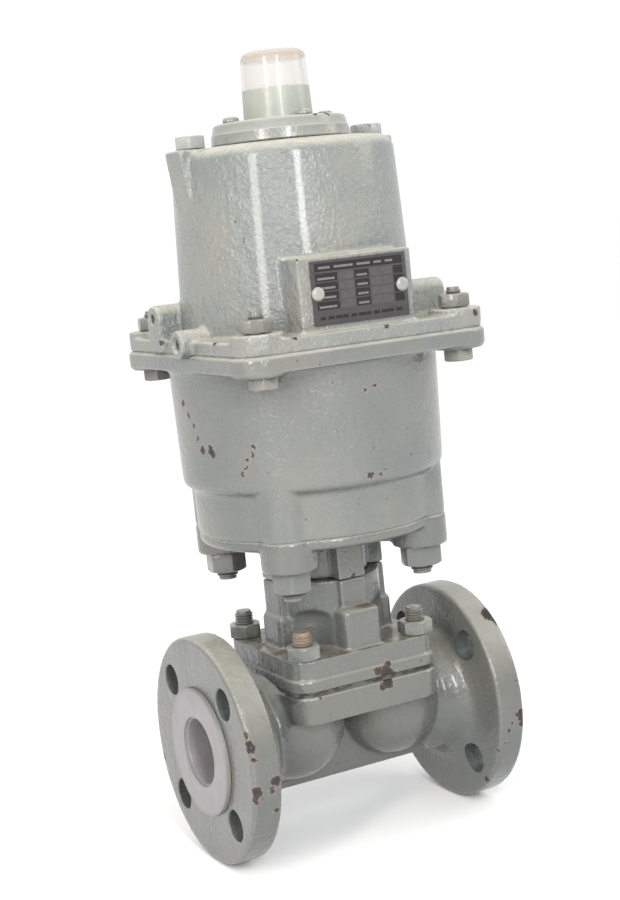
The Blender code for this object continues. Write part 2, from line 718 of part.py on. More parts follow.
def make_cover_shell(material):
    """Solid outside of the spring cover, with its bolting flange."""
    low = COVER_Z - OVER
    outline = [(0, low), (COVER_R, low)]
    for step in range(5):
        angle = math.pi / 2 * step / 4
        radius = COVER_TOP_R - COVER_SHOULDER_R * (1 - math.cos(angle))
        outline.append((radius, COVER_TOP_Z - COVER_SHOULDER_R * (1 - math.sin(angle))))
    outline.append((0, COVER_TOP_Z))
    cover = add_piece("spring_cover", turned("spring_cover", outline, 40), material)
    join(cover, casing_flange(COVER_HALF, low - OVER, COVER_FLANGE_TOP_Z, low - 2 * OVER, COVER_PAD_Z))
    return cover


def arch(half, low, springing, steps=8):
    """Outline of a foot with a half-round top."""
    angles = [math.pi * step / steps for step in range(steps + 1)]
    top = [(half * math.cos(angle), springing + half * math.sin(angle)) for angle in angles]
    return [(-half, low), (half, low)] + top


def eye_lug(side):
    """Round-topped lug on the flange, on the -X or +X side."""
    half = (EYE_Y[1] - EYE_Y[0]) / 2
    middle = -side * sum(EYE_Y) / 2
    outline = [(y + middle, z) for y, z in arch(half, COVER_Z + 0.001, EYE_HOLE_Z)]
    return prism("eye_lug", outline, *sorted((side * EYE_REACH, side * (COVER_MOUTH_R - OVER))), FACING_X)


def make_spring_cover(material):
    """Upper casing: shell, top lugs, name plate pad, eye lugs and the air port."""
    cover = make_cover_shell(material)
    for side in (-1, 1):
        low_x, high_x = sorted((side * LUG_REACH, side * (LUG_X - 0.004)))
        join(cover, block("top_lug", (low_x, -LUG_HALF, LUG_Z[0]), (high_x, LUG_HALF, LUG_Z[1])))
        join(cover, eye_lug(side))
    pad_back = COVER_MOUTH_R - 0.012
    join(cover, block("plate_pad", (PAD_X[0], -PAD_Y, COVER_Z + OVER), (PAD_X[1], -pad_back, PAD_TOP_Z)))
    port = bar("port_boss", PORT_BOSS_R, COVER_MOUTH_R, PORT_REACH, 24, along_x(-1))
    join(cover, port, (0, PORT_Y, PORT_Z))
    face_below(cover, COVER_Z)
    inside = [(0, COVER_Z - OVER), (COVER_MOUTH_R, COVER_Z - OVER), (COVER_MOUTH_R, COVER_Z)]
    inside += [(COVER_ROOF_R, COVER_ROOF_Z - 0.004), (COVER_ROOF_R - 0.004, COVER_ROOF_Z), (0, COVER_ROOF_Z)]
    cut(cover, turned("inside", inside, 32))
    cut(cover, bar("rod_hole", ROD_HOLE_R, COVER_ROOF_Z - OVER, COVER_TOP_Z + OVER, 12))
    drill_cover(cover)


def drill_cover(cover):
    """Holes of the spring cover: bolts, port, eyes, rivets and cap screws."""
    for place in at_corners(*CASING_BOLT_AT):
        cut(cover, bar("bolt_hole", CASING_BOLT_R + GAP, COVER_Z - OVER, COVER_PAD_Z + OVER, 12), place)
    for side in (-1, 1):
        lug_hole = bar("lug_hole", COVER_BOLT_R + GAP, COVER_BOLT_Z[0] - GAP, LUG_Z[1] + OVER, 12)
        cut(cover, lug_hole, (side * LUG_X, 0, 0))
        eye = bar("eye_hole", EYE_HOLE_R, EYE_REACH - 0.010, EYE_REACH + OVER, 12, along_x(side))
        cut(cover, eye, (0, -side * sum(EYE_Y) / 2, EYE_HOLE_Z))
        rivet_hole = bar("rivet_hole", RIVET_R + GAP, PAD_Y - RIVET_DEPTH - GAP, PAD_Y + OVER, 8, ALONG_Y)
        cut(cover, rivet_hole, (side * RIVET_X, 0, RIVET_Z))
    port_hole = bar("port_hole", PORT_HOLE_R, PORT_REACH - PORT_DEPTH, PORT_REACH + OVER, 16, along_x(-1))
    cut(cover, port_hole, (0, PORT_Y, PORT_Z))
    cut(cover, bar("air_drill", AIR_DRILL_R, COVER_Z - OVER, PORT_Z, 8), (AIR_DRILL_X, PORT_Y, 0))
    for place in cap_screw_places():
        cut(cover, bar("screw_hole", CAP_SCREW_R + GAP, CAP_SCREW_Z - GAP, COVER_TOP_Z + OVER, 8), place)


def make_casing_seal(material):
    """Ring in the groove between the two casings."""
    add_piece("casing_seal", ring("casing_seal", *SEAL_R, SEAL_GROOVE_Z + GAP, CASING_JOINT_Z), material)


# Stem, piston and springs


def make_stem(material):
    """Spindle from the compressor up through the piston, bored on top for the indicator rod."""
    outline = [(0, STEM_BOTTOM_Z), (STEM_R, STEM_BOTTOM_Z), (STEM_R, STEM_SHOULDER_Z)]
    outline += [(STEM_NECK_R, STEM_SHOULDER_Z), (STEM_NECK_R, STEM_TOP_Z), (0, STEM_TOP_Z)]
    stem = add_piece("stem", turned("stem", outline, 24), material)
    cut(stem, bar("rod_hole", ROD_R + GAP, ROD_Z[0] - GAP, STEM_TOP_Z + OVER, 12))
    cut(stem, pin_hole())


def make_piston(iron, rubber, plastic, steel):
    """Skirted piston with its packing, wear ring and nut."""
    outline = [(STEM_NECK_R + GAP, PISTON_Z), (PISTON_R, PISTON_Z)]
    for low, high in (PACKING_Z, WEAR_RING_Z):
        outline += [(PISTON_R, low), (PISTON_GROOVE_R, low), (PISTON_GROOVE_R, high), (PISTON_R, high)]
    outline += [(PISTON_R, PISTON_TOP_Z), (PISTON_SKIRT_R, PISTON_TOP_Z), (PISTON_SKIRT_R, PISTON_FLOOR_Z)]
    outline += [(PISTON_HUB_R, PISTON_FLOOR_Z), (PISTON_HUB_R - 0.003, PISTON_HUB_Z)]
    outline += [(STEM_NECK_R + GAP, PISTON_HUB_Z)]
    add_piece("piston", turned("piston", outline, BORE_STEPS), iron)
    for name, (low, high), material in (
        ("piston_packing", PACKING_Z, rubber),
        ("piston_wear_ring", WEAR_RING_Z, plastic),
    ):
        band = ring(name, PISTON_GROOVE_R + GAP, PISTON_R, low + GAP, high - GAP, BORE_STEPS)
        add_piece(name, band, material)
    low = PISTON_HUB_Z + GAP
    high = low + PISTON_NUT_HEIGHT
    nut = add_piece("piston_nut", prism("piston_nut", hexagon(PISTON_NUT_FLATS), low, high), steel)
    cut(nut, bar("nut_hole", STEM_NECK_R + GAP, low - OVER, high + OVER, 16))


def make_spring(name, radius, wire, turns, steps, sides, material):
    """Coil between piston and roof; its first and last turns lie closed."""
    low = PISTON_FLOOR_Z + GAP + wire
    high = COVER_ROOF_Z - GAP - wire
    closed = 2.1 * wire
    coil = bpy.data.curves.new(name, "CURVE")
    coil.dimensions = "3D"
    coil.bevel_depth = wire
    coil.bevel_resolution = sides
    coil.use_fill_caps = True
    line = coil.splines.new("POLY")
    count = turns * steps + 1
    line.points.add(count - 1)
    for index, point in enumerate(line.points):
        turn = index / steps
        middle = (turn - 1) / (turns - 2) * (high - low - 2 * closed)
        climb = min(max(middle, 0), high - low - 2 * closed)
        ends = min(turn, 1) + max(turn - (turns - 1), 0)
        angle = 2 * math.pi * turn
        point.co = (radius * math.cos(angle), radius * math.sin(angle), low + climb + closed * ends, 1)
    spring = bpy.data.objects.new(name, coil)
    bpy.context.collection.objects.link(spring)
    coil.materials.append(material)


# Cap, dome and indicator


def cap_screw_places():
    """Four screws on the axes."""
    reach = CAP_SCREW_CIRCLE_R
    return [(reach, 0, 0), (0, reach, 0), (-reach, 0, 0), (0, -reach, 0)]


def make_top_cap(material, steel):
    """Round cap with a socket for the dome, held by four pan-head screws."""
    outline = [(ROD_HOLE_R, CAP_Z), (CAP_R, CAP_Z), (CAP_R - 0.0005, CAP_Z + 0.006)]
    outline += [(CAP_TOP_R, CAP_TOP_Z - 0.001), (CAP_TOP_R - 0.001, CAP_TOP_Z)]
    outline += [(CAP_SOCKET_R, CAP_TOP_Z), (CAP_SOCKET_R, CAP_SOCKET_Z), (ROD_HOLE_R, CAP_SOCKET_Z)]
    cap = add_piece("top_cap", turned("top_cap", outline, 36), material)
    for place in cap_screw_places():
        cut(cap, bar("screw_hole", CAP_SCREW_R + GAP, CAP_Z - OVER, CAP_TOP_Z + OVER, 8), place)
    low = CAP_TOP_Z + GAP
    high = low + CAP_SCREW_HEAD
    screw = [(0, CAP_SCREW_Z), (CAP_SCREW_R, CAP_SCREW_Z), (CAP_SCREW_R, low), (CAP_SCREW_HEAD_R, low)]
    screw += [(CAP_SCREW_HEAD_R, high - 0.0012), (CAP_SCREW_HEAD_R - 0.0012, high - 0.0002), (0, high)]
    add_copies("cap_screw", turned("cap_screw", screw, 16), cap_screw_places(), steel)


def make_dome(material):
    """Clear cup whose spigot stands in the cap."""
    spigot_in = DOME_SPIGOT_R - DOME_WALL
    outer = [(DOME_SPIGOT_R, CAP_SOCKET_Z + GAP), (DOME_SPIGOT_R, DOME_Z), (DOME_R, DOME_Z)]
    inner = [(spigot_in, CAP_SOCKET_Z + GAP), (spigot_in, DOME_Z), (DOME_R - DOME_WALL, DOME_Z + DOME_WALL)]
    for step in range(5):
        angle = math.pi / 2 * step / 4
        across, rise = DOME_EDGE_R * math.cos(angle), DOME_EDGE_R * math.sin(angle)
        outer.append((DOME_TOP_R - DOME_EDGE_R + across, DOME_TOP_Z - DOME_EDGE_R + rise))
        thin = 1 - DOME_WALL / DOME_EDGE_R
        inner.append((DOME_TOP_R - DOME_EDGE_R + across * thin, DOME_TOP_Z - DOME_EDGE_R + rise * thin))
    outline = [(0, DOME_TOP_Z)] + outer[::-1] + inner + [(0, DOME_TOP_Z - DOME_WALL)]
    add_piece("indicator_dome", turned("indicator_dome", outline, 24), material)


def make_indicator(steel, red):
    """Rod from the stem up into the dome, with a coloured knob."""
    add_piece("indicator_rod", bar("indicator_rod", ROD_R, *ROD_Z, 12), steel)
    low, high = KNOB_Z
    knob = [(0, KNOB_BORE_TOP_Z), (ROD_R + GAP, KNOB_BORE_TOP_Z), (ROD_R + GAP, low), (KNOB_R, low)]
    knob += [(KNOB_R, high - 0.001), (KNOB_R - 0.001, high), (0, high)]
    add_piece("indicator_knob", turned("indicator_knob", knob, 24), red)


# Fasteners and name plate


def make_nuts(name, flats, hole, low, height, places, material):
    """Four hexagon nuts."""
    blank = add_tool(f"{name}_blank", prism(name, hexagon(flats), low, low + height))
    cut(blank, bar("nut_hole", hole + GAP, low - OVER, low + height + OVER, 12))
    add_copies(name, shaped(blank), places, material)


def make_joint_fasteners(steel):
    """Studs and nuts of the square joint and of the cylinder's foot."""
    corners = at_corners(STUD_XY, STUD_XY)
    stud = bar("bonnet_stud", STUD_R, JOINT_BOTTOM_Z + 0.005, STUD_TOP_Z, 12, None, 0.001)
    add_copies("bonnet_stud", stud, corners, steel)
    make_nuts("bonnet_nut", JOINT_NUT_FLATS, STUD_R, BONNET_TOP_Z + GAP, JOINT_NUT_HEIGHT, corners, steel)
    corners = at_corners(BOSS_XY, BOSS_XY)
    stud = bar("cylinder_stud", TIE_STUD_R, *TIE_STUD_Z, 12, None, 0.001)
    add_copies("cylinder_stud", stud, corners, steel)
    low = BOSS_Z - GAP - TIE_NUT_HEIGHT
    make_nuts("cylinder_nut", TIE_NUT_FLATS, TIE_STUD_R, low, TIE_NUT_HEIGHT, corners, steel)


def make_headed_bolts(name, radius, low, high, flats, head, places, material, head_low=True):
    """Hexagon-headed bolts whose head sits at the low or the high end."""
    base = low if head_low else high - head
    blank = add_tool(f"{name}_blank", prism(name, hexagon(flats), base, base + head))
    join(blank, bar("shank", radius, low + (OVER if head_low else 0), high - (0 if head_low else OVER), 12))
    add_copies(name, shaped(blank), places, material)


def make_casing_fasteners(steel):
    """Bolts and nuts of the casing joint, and the two bolts in the cover's top lugs."""
    corners = at_corners(*CASING_BOLT_AT)
    head = CASING_HEAD_HEIGHT
    ends = (CASING_PAD_Z - GAP - head, CASING_BOLT_TOP_Z)
    make_headed_bolts("flange_bolt", CASING_BOLT_R, *ends, CASING_NUT_FLATS, head, corners, steel)
    nut_low = COVER_PAD_Z + GAP
    make_nuts("flange_nut", CASING_NUT_FLATS, CASING_BOLT_R, nut_low, CASING_NUT_HEIGHT, corners, steel)
    head = COVER_BOLT_Z[1] - LUG_Z[1] - GAP
    lugs = [(-LUG_X, 0, 0), (LUG_X, 0, 0)]
    ends = COVER_BOLT_Z
    make_headed_bolts("cover_bolt", COVER_BOLT_R, *ends, COVER_BOLT_FLATS, head, lugs, steel, head_low=False)


def make_name_plate(aluminium, steel):
    """Blank rating plate on its pad, with two rivets."""
    back = -PAD_Y - GAP
    low = (-PLATE_HALF_X, back - PLATE_THICKNESS, PLATE_Z[0])
    plate = add_piece("name_plate", block("name_plate", low, (PLATE_HALF_X, back, PLATE_Z[1])), aluminium)
    face = PAD_Y + 2 * GAP + PLATE_THICKNESS
    rivet = [(0, PAD_Y - RIVET_DEPTH), (RIVET_R, PAD_Y - RIVET_DEPTH), (RIVET_R, face), (RIVET_HEAD_R, face)]
    rivet += [(RIVET_HEAD_R * 0.8, face + RIVET_HEAD * 0.7), (0, face + RIVET_HEAD)]
    places = [(-RIVET_X, 0, RIVET_Z), (RIVET_X, 0, RIVET_Z)]
    for place in places:
        cut(plate, bar("rivet_hole", RIVET_R + GAP, PAD_Y - OVER, PAD_Y + OVER, 8, ALONG_Y), place)
    add_copies("plate_rivet", turned("plate_rivet", rivet, 16, ALONG_Y), places, steel)


def main():
    """Build the valve from the pipe up."""
    clear_scene()
    enamel = finish("enamel", (0.42, 0.44, 0.42), 0.35)
    steel = finish("steel", (0.45, 0.45, 0.46), 0.4, 1.0)
    iron = finish("cast_iron", (0.25, 0.25, 0.26), 0.6, 0.6)
    rubber = finish("rubber", (0.03, 0.03, 0.03), 0.8)
    fluoropolymer = finish("fluoropolymer", (0.80, 0.79, 0.82), 0.35)
    make_valve_body(enamel)
    make_body_liner(fluoropolymer)
    make_diaphragm(fluoropolymer, rubber, steel)
    make_compressor(iron, steel)
    make_bonnet(enamel)
    make_yoke_plate(enamel)
    make_guides(finish("bronze", (0.50, 0.33, 0.14), 0.4, 1.0), rubber)
    make_joint_fasteners(steel)
    make_cylinder(enamel)
    make_spring_cover(enamel)
    make_casing_seal(rubber)
    make_casing_fasteners(steel)
    make_stem(steel)
    make_piston(iron, rubber, finish("acetal", (0.75, 0.72, 0.62), 0.5), steel)
    make_spring("outer_spring", OUTER_SPRING_R, OUTER_WIRE_R, OUTER_TURNS, 10, 1, iron)
    make_spring("inner_spring", INNER_SPRING_R, INNER_WIRE_R, INNER_TURNS, 9, 1, iron)
    make_top_cap(enamel, steel)
    make_dome(finish("clear_plastic", (0.9, 0.88, 0.82), 0.1, 0.0, 0.35))
    make_indicator(steel, finish("red_paint", (0.6, 0.05, 0.03), 0.4))
    make_name_plate(finish("aluminium", (0.30, 0.29, 0.30), 0.45, 1.0), steel)


main()
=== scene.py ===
import math

import bmesh
import bpy
from mathutils import Matrix, Vector


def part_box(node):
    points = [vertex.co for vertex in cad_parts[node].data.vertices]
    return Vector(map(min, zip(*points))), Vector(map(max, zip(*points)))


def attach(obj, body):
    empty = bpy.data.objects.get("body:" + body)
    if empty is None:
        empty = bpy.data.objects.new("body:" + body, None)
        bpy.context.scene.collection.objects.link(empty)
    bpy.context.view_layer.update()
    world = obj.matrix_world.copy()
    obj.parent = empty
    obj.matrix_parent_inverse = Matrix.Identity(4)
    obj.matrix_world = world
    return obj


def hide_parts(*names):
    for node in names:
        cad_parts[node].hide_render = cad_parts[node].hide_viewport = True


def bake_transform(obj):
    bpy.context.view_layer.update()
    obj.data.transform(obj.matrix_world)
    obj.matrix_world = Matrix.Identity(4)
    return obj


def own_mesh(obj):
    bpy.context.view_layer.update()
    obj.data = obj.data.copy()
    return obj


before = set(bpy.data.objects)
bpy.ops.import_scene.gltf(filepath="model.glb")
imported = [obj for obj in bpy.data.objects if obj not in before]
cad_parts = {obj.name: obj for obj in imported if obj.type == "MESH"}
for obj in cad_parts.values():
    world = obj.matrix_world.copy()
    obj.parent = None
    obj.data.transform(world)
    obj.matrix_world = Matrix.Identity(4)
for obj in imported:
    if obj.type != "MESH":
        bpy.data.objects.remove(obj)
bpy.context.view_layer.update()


# ---------------------------------------------------------------------------------------------
# Studio: a pale seamless floor under a white sky, a tall soft lamp on the left, a narrow one
# beside the camera and a weak one on the right. The camera is tilted, so the valve leans left.
scene = bpy.context.scene
EYE = Vector((-0.46862, -0.89374, 0.38446))
LOOKS_RIGHT = Vector((0.875251, -0.473701, -0.09769))
LOOKS_DOWN = Vector((-0.152229, -0.078086, -0.985256))
LOOKS_AHEAD = Vector((0.459089, 0.877217, -0.140456))
camera_data = bpy.data.cameras.new("camera")
camera_data.sensor_width = 36.0
camera_data.lens = 65.773
camera_data.clip_start = 0.01
camera = bpy.data.objects.new("camera", camera_data)
scene.collection.objects.link(camera)
turn = Matrix((LOOKS_RIGHT, -LOOKS_DOWN, -LOOKS_AHEAD)).transposed().to_4x4()
camera.matrix_world = Matrix.Translation(EYE) @ turn
scene.camera = camera
scene.view_settings.view_transform = "Standard"

sky = bpy.data.worlds.new("sky")
sky.use_nodes = True
sky.node_tree.nodes["Background"].inputs["Color"].default_value = (1.0, 1.0, 1.0, 1.0)
sky.node_tree.nodes["Background"].inputs["Strength"].default_value = 1.02
scene.world = sky

for lamp_name, place, size, power, colour in (
    ("tall_lamp", (-1.25, -0.80, 0.80), (0.20, 0.95), 13.0, (1.0, 0.95, 0.91)),
    ("near_lamp", (-0.30, -1.25, 0.72), (0.15, 0.60), 9.0, (0.96, 0.98, 1.0)),
    ("far_lamp", (1.30, -0.60, 0.90), (0.50, 0.80), 4.0, (1.0, 1.0, 0.96)),
):
    lamp_data = bpy.data.lights.new(lamp_name, "AREA")
    lamp_data.shape = "RECTANGLE"
    lamp_data.size, lamp_data.size_y = size
    lamp_data.energy = power
    lamp_data.color = colour
    lamp = bpy.data.objects.new(lamp_name, lamp_data)
    scene.collection.objects.link(lamp)
    lamp.location = place
    aim = Vector((0.0, 0.0, 0.30)) - lamp.location
    lamp.rotation_euler = aim.to_track_quat("-Z", "Y").to_euler()

bpy.ops.object.select_all(action="DESELECT")
bpy.ops.mesh.primitive_plane_add(size=30.0, location=(0.0, 0.0, -0.0002))
floor = bpy.context.active_object
floor.name = "floor"
floor_paint = bpy.data.materials.new("floor_paint")
floor_paint.use_nodes = True
floor_shader = floor_paint.node_tree.nodes["Principled BSDF"]
floor_shader.inputs["Base Color"].default_value = (0.985, 0.985, 0.985, 1.0)
floor_shader.inputs["Roughness"].default_value = 0.9
floor.data.materials.append(floor_paint)


# ---------------------------------------------------------------------------------------------
# Valve body: one iron casting. Two round pipe flanges on necks, two lobes that carry the flow up
# to the weir, a thin web below them and a square flange on top, sprayed with grey-green enamel.
PIPE_Z = 0.070
FLANGE_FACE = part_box("valve_body")[1].x
JOINT_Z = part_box("bonnet")[0].z - 0.0029
FLANGE_BACK = 0.0763
BOLT_HOLE_AT, BOLT_HOLE_R = 0.0525 / math.sqrt(2.0), 0.0095
JOINT_HALF, JOINT_CORNER = 0.0503, 0.013
BORE_R = 0.020
BOWL_DEPTH = 0.0178
LINER_WALL, LINER_POCKET = 0.0030, 0.0033
CORNERS = ((1, 1), (-1, 1), (-1, -1), (1, -1))
QUARTER_TURN = math.pi / 2.0


def clear():
    """Select nothing, so that the next operator acts on the new shape alone."""
    if bpy.context.mode != "OBJECT":
        bpy.ops.object.mode_set(mode="OBJECT")
    bpy.ops.object.select_all(action="DESELECT")


def take(piece):
    """Select one piece alone, for the operators that follow."""
    clear()
    piece.select_set(True)
    bpy.context.view_layer.objects.active = piece


def quarter_arc(steps):
    """Angles from 0 to a quarter turn, in equal steps."""
    return [math.pi / 2.0 * step / steps for step in range(steps + 1)]


def corners(x, y):
    """The four places that lie x and y away from the upright axis."""
    return [(side_x * x, side_y * y, 0) for side_x, side_y in CORNERS]


def settle(piece, name, place=(0, 0, 0), turns=(0, 0, 0)):
    """Name a shape, and put its place and turn into its mesh."""
    piece.name = name
    piece.location = Vector(place) + piece.location
    piece.rotation_euler = turns
    take(piece)
    bpy.ops.object.transform_apply(location=True, rotation=True, scale=True)
    return piece


def turned(name, outline, steps=72, place=(0, 0, 0), turns=(0, 0, 0)):
    """Turn a (radius, height) outline on a lathe. It runs from axis to axis, or closes on itself."""
    clear()
    bpy.ops.mesh.primitive_plane_add(size=0.001)
    piece = bpy.context.active_object
    bpy.ops.object.mode_set(mode="EDIT")
    bpy.ops.mesh.select_all(action="SELECT")
    bpy.ops.mesh.merge(type="CENTER")
    bpy.ops.transform.translate(value=(outline[0][0], 0.0, outline[0][1]))
    for start, end in zip(outline, outline[1:]):
        step = (end[0] - start[0], 0.0, end[1] - start[1])
        bpy.ops.mesh.extrude_region_move(TRANSFORM_OT_translate={"value": step})
    bpy.ops.mesh.select_all(action="SELECT")
    bpy.ops.mesh.spin(steps=steps, angle=2.0 * math.pi, center=(0, 0, 0), axis=(0, 0, 1))
    bpy.ops.mesh.select_all(action="SELECT")
    bpy.ops.mesh.remove_doubles(threshold=1e-6)
    bpy.ops.mesh.normals_make_consistent(inside=False)
    bpy.ops.object.mode_set(mode="OBJECT")
    return settle(piece, name, place, turns)


def slab(name, low, high, corner=0.0, edge=0.0):
    """A block between two corners, its upright edges rounded by corner and all others by edge."""
    clear()
    middle = [(a + b) / 2.0 for a, b in zip(low, high)]
    bpy.ops.mesh.primitive_cube_add(size=1.0, location=middle)
    piece = bpy.context.active_object
    piece.scale = [b - a for a, b in zip(low, high)]
    settle(piece, name)
    if corner:
        bpy.ops.object.mode_set(mode="EDIT")
        bpy.ops.mesh.select_mode(type="EDGE")
        bpy.ops.mesh.select_all(action="DESELECT")
        cage = bmesh.from_edit_mesh(piece.data)
        for rim in cage.edges:
            first, second = rim.verts
            if abs(first.co.z - second.co.z) > 1e-5:
                rim.select_set(True)
        bmesh.update_edit_mesh(piece.data)
        bpy.ops.mesh.bevel(offset=corner, segments=10, affect="EDGES")
        bpy.ops.mesh.select_mode(type="VERT")
        bpy.ops.object.mode_set(mode="OBJECT")
    if edge:
        round_edges(piece, edge)
    return piece


def ball(name, centre, radii):
    """An ellipsoid."""
    clear()
    bpy.ops.mesh.primitive_uv_sphere_add(segments=56, ring_count=28, radius=1.0, location=centre)
    piece = bpy.context.active_object
    piece.scale = radii
    return settle(piece, name)


def finish_modifiers(piece):
    """Apply every modifier of a piece."""
    take(piece)
    for modifier in list(piece.modifiers):
        bpy.ops.object.modifier_apply(modifier=modifier.name)
    return piece


def round_edges(piece, width, segments=3, angle=35):
    """Break the sharp edges of a piece."""
    bevel = piece.modifiers.new("edges", "BEVEL")
    bevel.width = width
    bevel.segments = segments
    bevel.limit_method = "ANGLE"
    bevel.angle_limit = math.radians(angle)
    return finish_modifiers(piece)


def as_one(name, parts):
    """Join shapes into one object, without welding them."""
    clear()
    for part in parts:
        part.select_set(True)
    bpy.context.view_layer.objects.active = parts[0]
    bpy.ops.object.join()
    parts[0].name = name
    return parts[0]


def carve(piece, tools, operation="DIFFERENCE"):
    """Cut tools out of a piece, or join them to it, and take the tools away."""
    for tool in tools:
        boolean = piece.modifiers.new("carve", "BOOLEAN")
        boolean.operation = operation
        boolean.solver = "MANIFOLD"
        boolean.object = tool
        finish_modifiers(piece)
        bpy.data.objects.remove(tool, do_unlink=True)
    return piece


def cast(name, parts, grain, passes):
    """Weld overlapping shapes into one skin and soften every edge and corner, as a casting's are."""
    piece = as_one(name, parts)
    weld = piece.modifiers.new("weld", "REMESH")
    weld.mode = "VOXEL"
    weld.voxel_size = grain
    soften = piece.modifiers.new("soften", "SMOOTH")
    soften.factor = 0.5
    soften.iterations = passes
    return finish_modifiers(piece)


def shade(piece, angle=38):
    """Smooth shading that stays crisp at real edges."""
    take(piece)
    bpy.ops.object.shade_smooth_by_angle(angle=math.radians(angle))
    return piece


def hand_over(piece, body, slot, finish, *nodes):
    """Give a finished piece its material and its body, and hide the CAD nodes that it stands for."""
    piece.data.materials.clear()
    piece.data.materials.append(finish)
    if body:
        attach(piece, body)
    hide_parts(*nodes)
    return piece


class Wire:
    """A shader socket that Python arithmetic works on."""

    def __init__(self, finish, socket):
        self.finish, self.socket = finish, socket

    def math(self, operation, first, second=0.0):
        return self.finish.node("Math", {"operation": operation}, {0: first, 1: second})

    def __add__(self, other):
        return self.math("ADD", self, other)

    def __radd__(self, other):
        return self.math("ADD", other, self)

    def __sub__(self, other):
        return self.math("SUBTRACT", self, other)

    def __rsub__(self, other):
        return self.math("SUBTRACT", other, self)

    def __mul__(self, other):
        return self.math("MULTIPLY", self, other)

    def __rmul__(self, other):
        return self.math("MULTIPLY", other, self)

    def most(self, other):
        return self.math("MAXIMUM", self, other)

    def ramp(self, low, high):
        """0 below low, 1 above high, a smooth rise between; low may be the larger."""
        start, end = (0.0, 1.0) if low < high else (1.0, 0.0)
        values = {0: self, 1: min(low, high), 2: max(low, high), 3: start, 4: end}
        return self.finish.node("MapRange", {"interpolation_type": "SMOOTHSTEP"}, values)


class Finish:
    """A material on a Principled shader, built from nodes."""

    def __init__(self, name):
        self.material = bpy.data.materials.new(name)
        self.material.use_nodes = True
        self.tree = self.material.node_tree
        self.shader = self.tree.nodes["Principled BSDF"]
        self.place = self.node("TexCoord", out="Object")

    def node(self, kind, settings=None, values=None, out=0):
        """Any node: its settings first, then what goes into its sockets; returns one output."""
        node = self.tree.nodes.new("ShaderNode" + kind)
        for key, value in (settings or {}).items():
            setattr(node, key, value)
        for key, value in (values or {}).items():
            self.put(node.inputs[key], value)
        return Wire(self, node.outputs[out])

    def put(self, socket, value):
        """Link a wire into a socket, or set it to a plain value."""
        if isinstance(value, Wire):
            self.tree.links.new(value.socket, socket)
        elif isinstance(value, tuple) and len(value) == 3 and socket.type == "RGBA":
            socket.default_value = (*value, 1.0)
        else:
            socket.default_value = value

    def set(self, **values):
        """Values or wires for the shader's own sockets."""
        for key, value in values.items():
            self.put(self.shader.inputs[key.replace("_", " ").title().replace("Ior", "IOR")], value)
        return self

    def mix(self, share, first, second):
        """From the first colour to the second."""
        return self.node("Mix", {"data_type": "RGBA"}, {0: share, 6: first, 7: second}, out=2)

    def vector(self, operation, first, second=(0.0, 0.0, 0.0)):
        """Vector arithmetic; LENGTH and DISTANCE give a number, and SCALE takes one."""
        out = "Value" if operation in ("LENGTH", "DISTANCE") else 0
        values = {0: first, "Scale" if operation == "SCALE" else 1: second}
        return self.node("VectorMath", {"operation": operation}, values, out)

    def noise(self, scale, detail=3.0, roughness=0.5, place=None, out=0):
        """Noise from 0 to 1; out=1 gives a colour instead."""
        values = {"Vector": place or self.place, "Scale": scale, "Detail": detail}
        return self.node("TexNoise", None, {**values, "Roughness": roughness}, out)

    def ragged(self, scale, reach):
        """The place on the piece, shaken by noise, for spots with torn edges."""
        shake = self.vector("SUBTRACT", self.noise(scale, 7.0, 0.65, out=1), (0.5, 0.5, 0.5))
        return self.vector("ADD", self.place, self.vector("SCALE", shake, reach))

    def spots(self, spots, place):
        """Greatest of radius less distance over a list of (x, y, z, radius) spots, in metres."""
        depth = None
        for x, y, z, radius in spots:
            here = radius - self.vector("DISTANCE", place, (x, y, z))
            depth = here if depth is None else depth.most(here)
        return depth

    def upward(self):
        """How far the surface faces up, from -1 to 1."""
        normal = self.node("NewGeometry", out="Normal")
        return self.node("SeparateXYZ", None, {0: normal}, out=2)

    def pointed(self):
        """Above 0.5 on outside edges, below it in corners."""
        return self.node("NewGeometry", out="Pointiness")

    def bump(self, height, depth):
        """Relief of a 0 to 1 height, depth metres deep."""
        values = {"Strength": 1.0, "Distance": depth, "Height": height}
        self.set(normal=self.node("Bump", None, values))


PAINT = (0.190, 0.190, 0.170)
PAINT_COOL = (0.150, 0.163, 0.156)
PAINT_CREAM = (0.470, 0.460, 0.390)
RUST = (0.058, 0.036, 0.027)
RUST_DARK = (0.014, 0.011, 0.010)
PRIMER = (0.330, 0.240, 0.195)


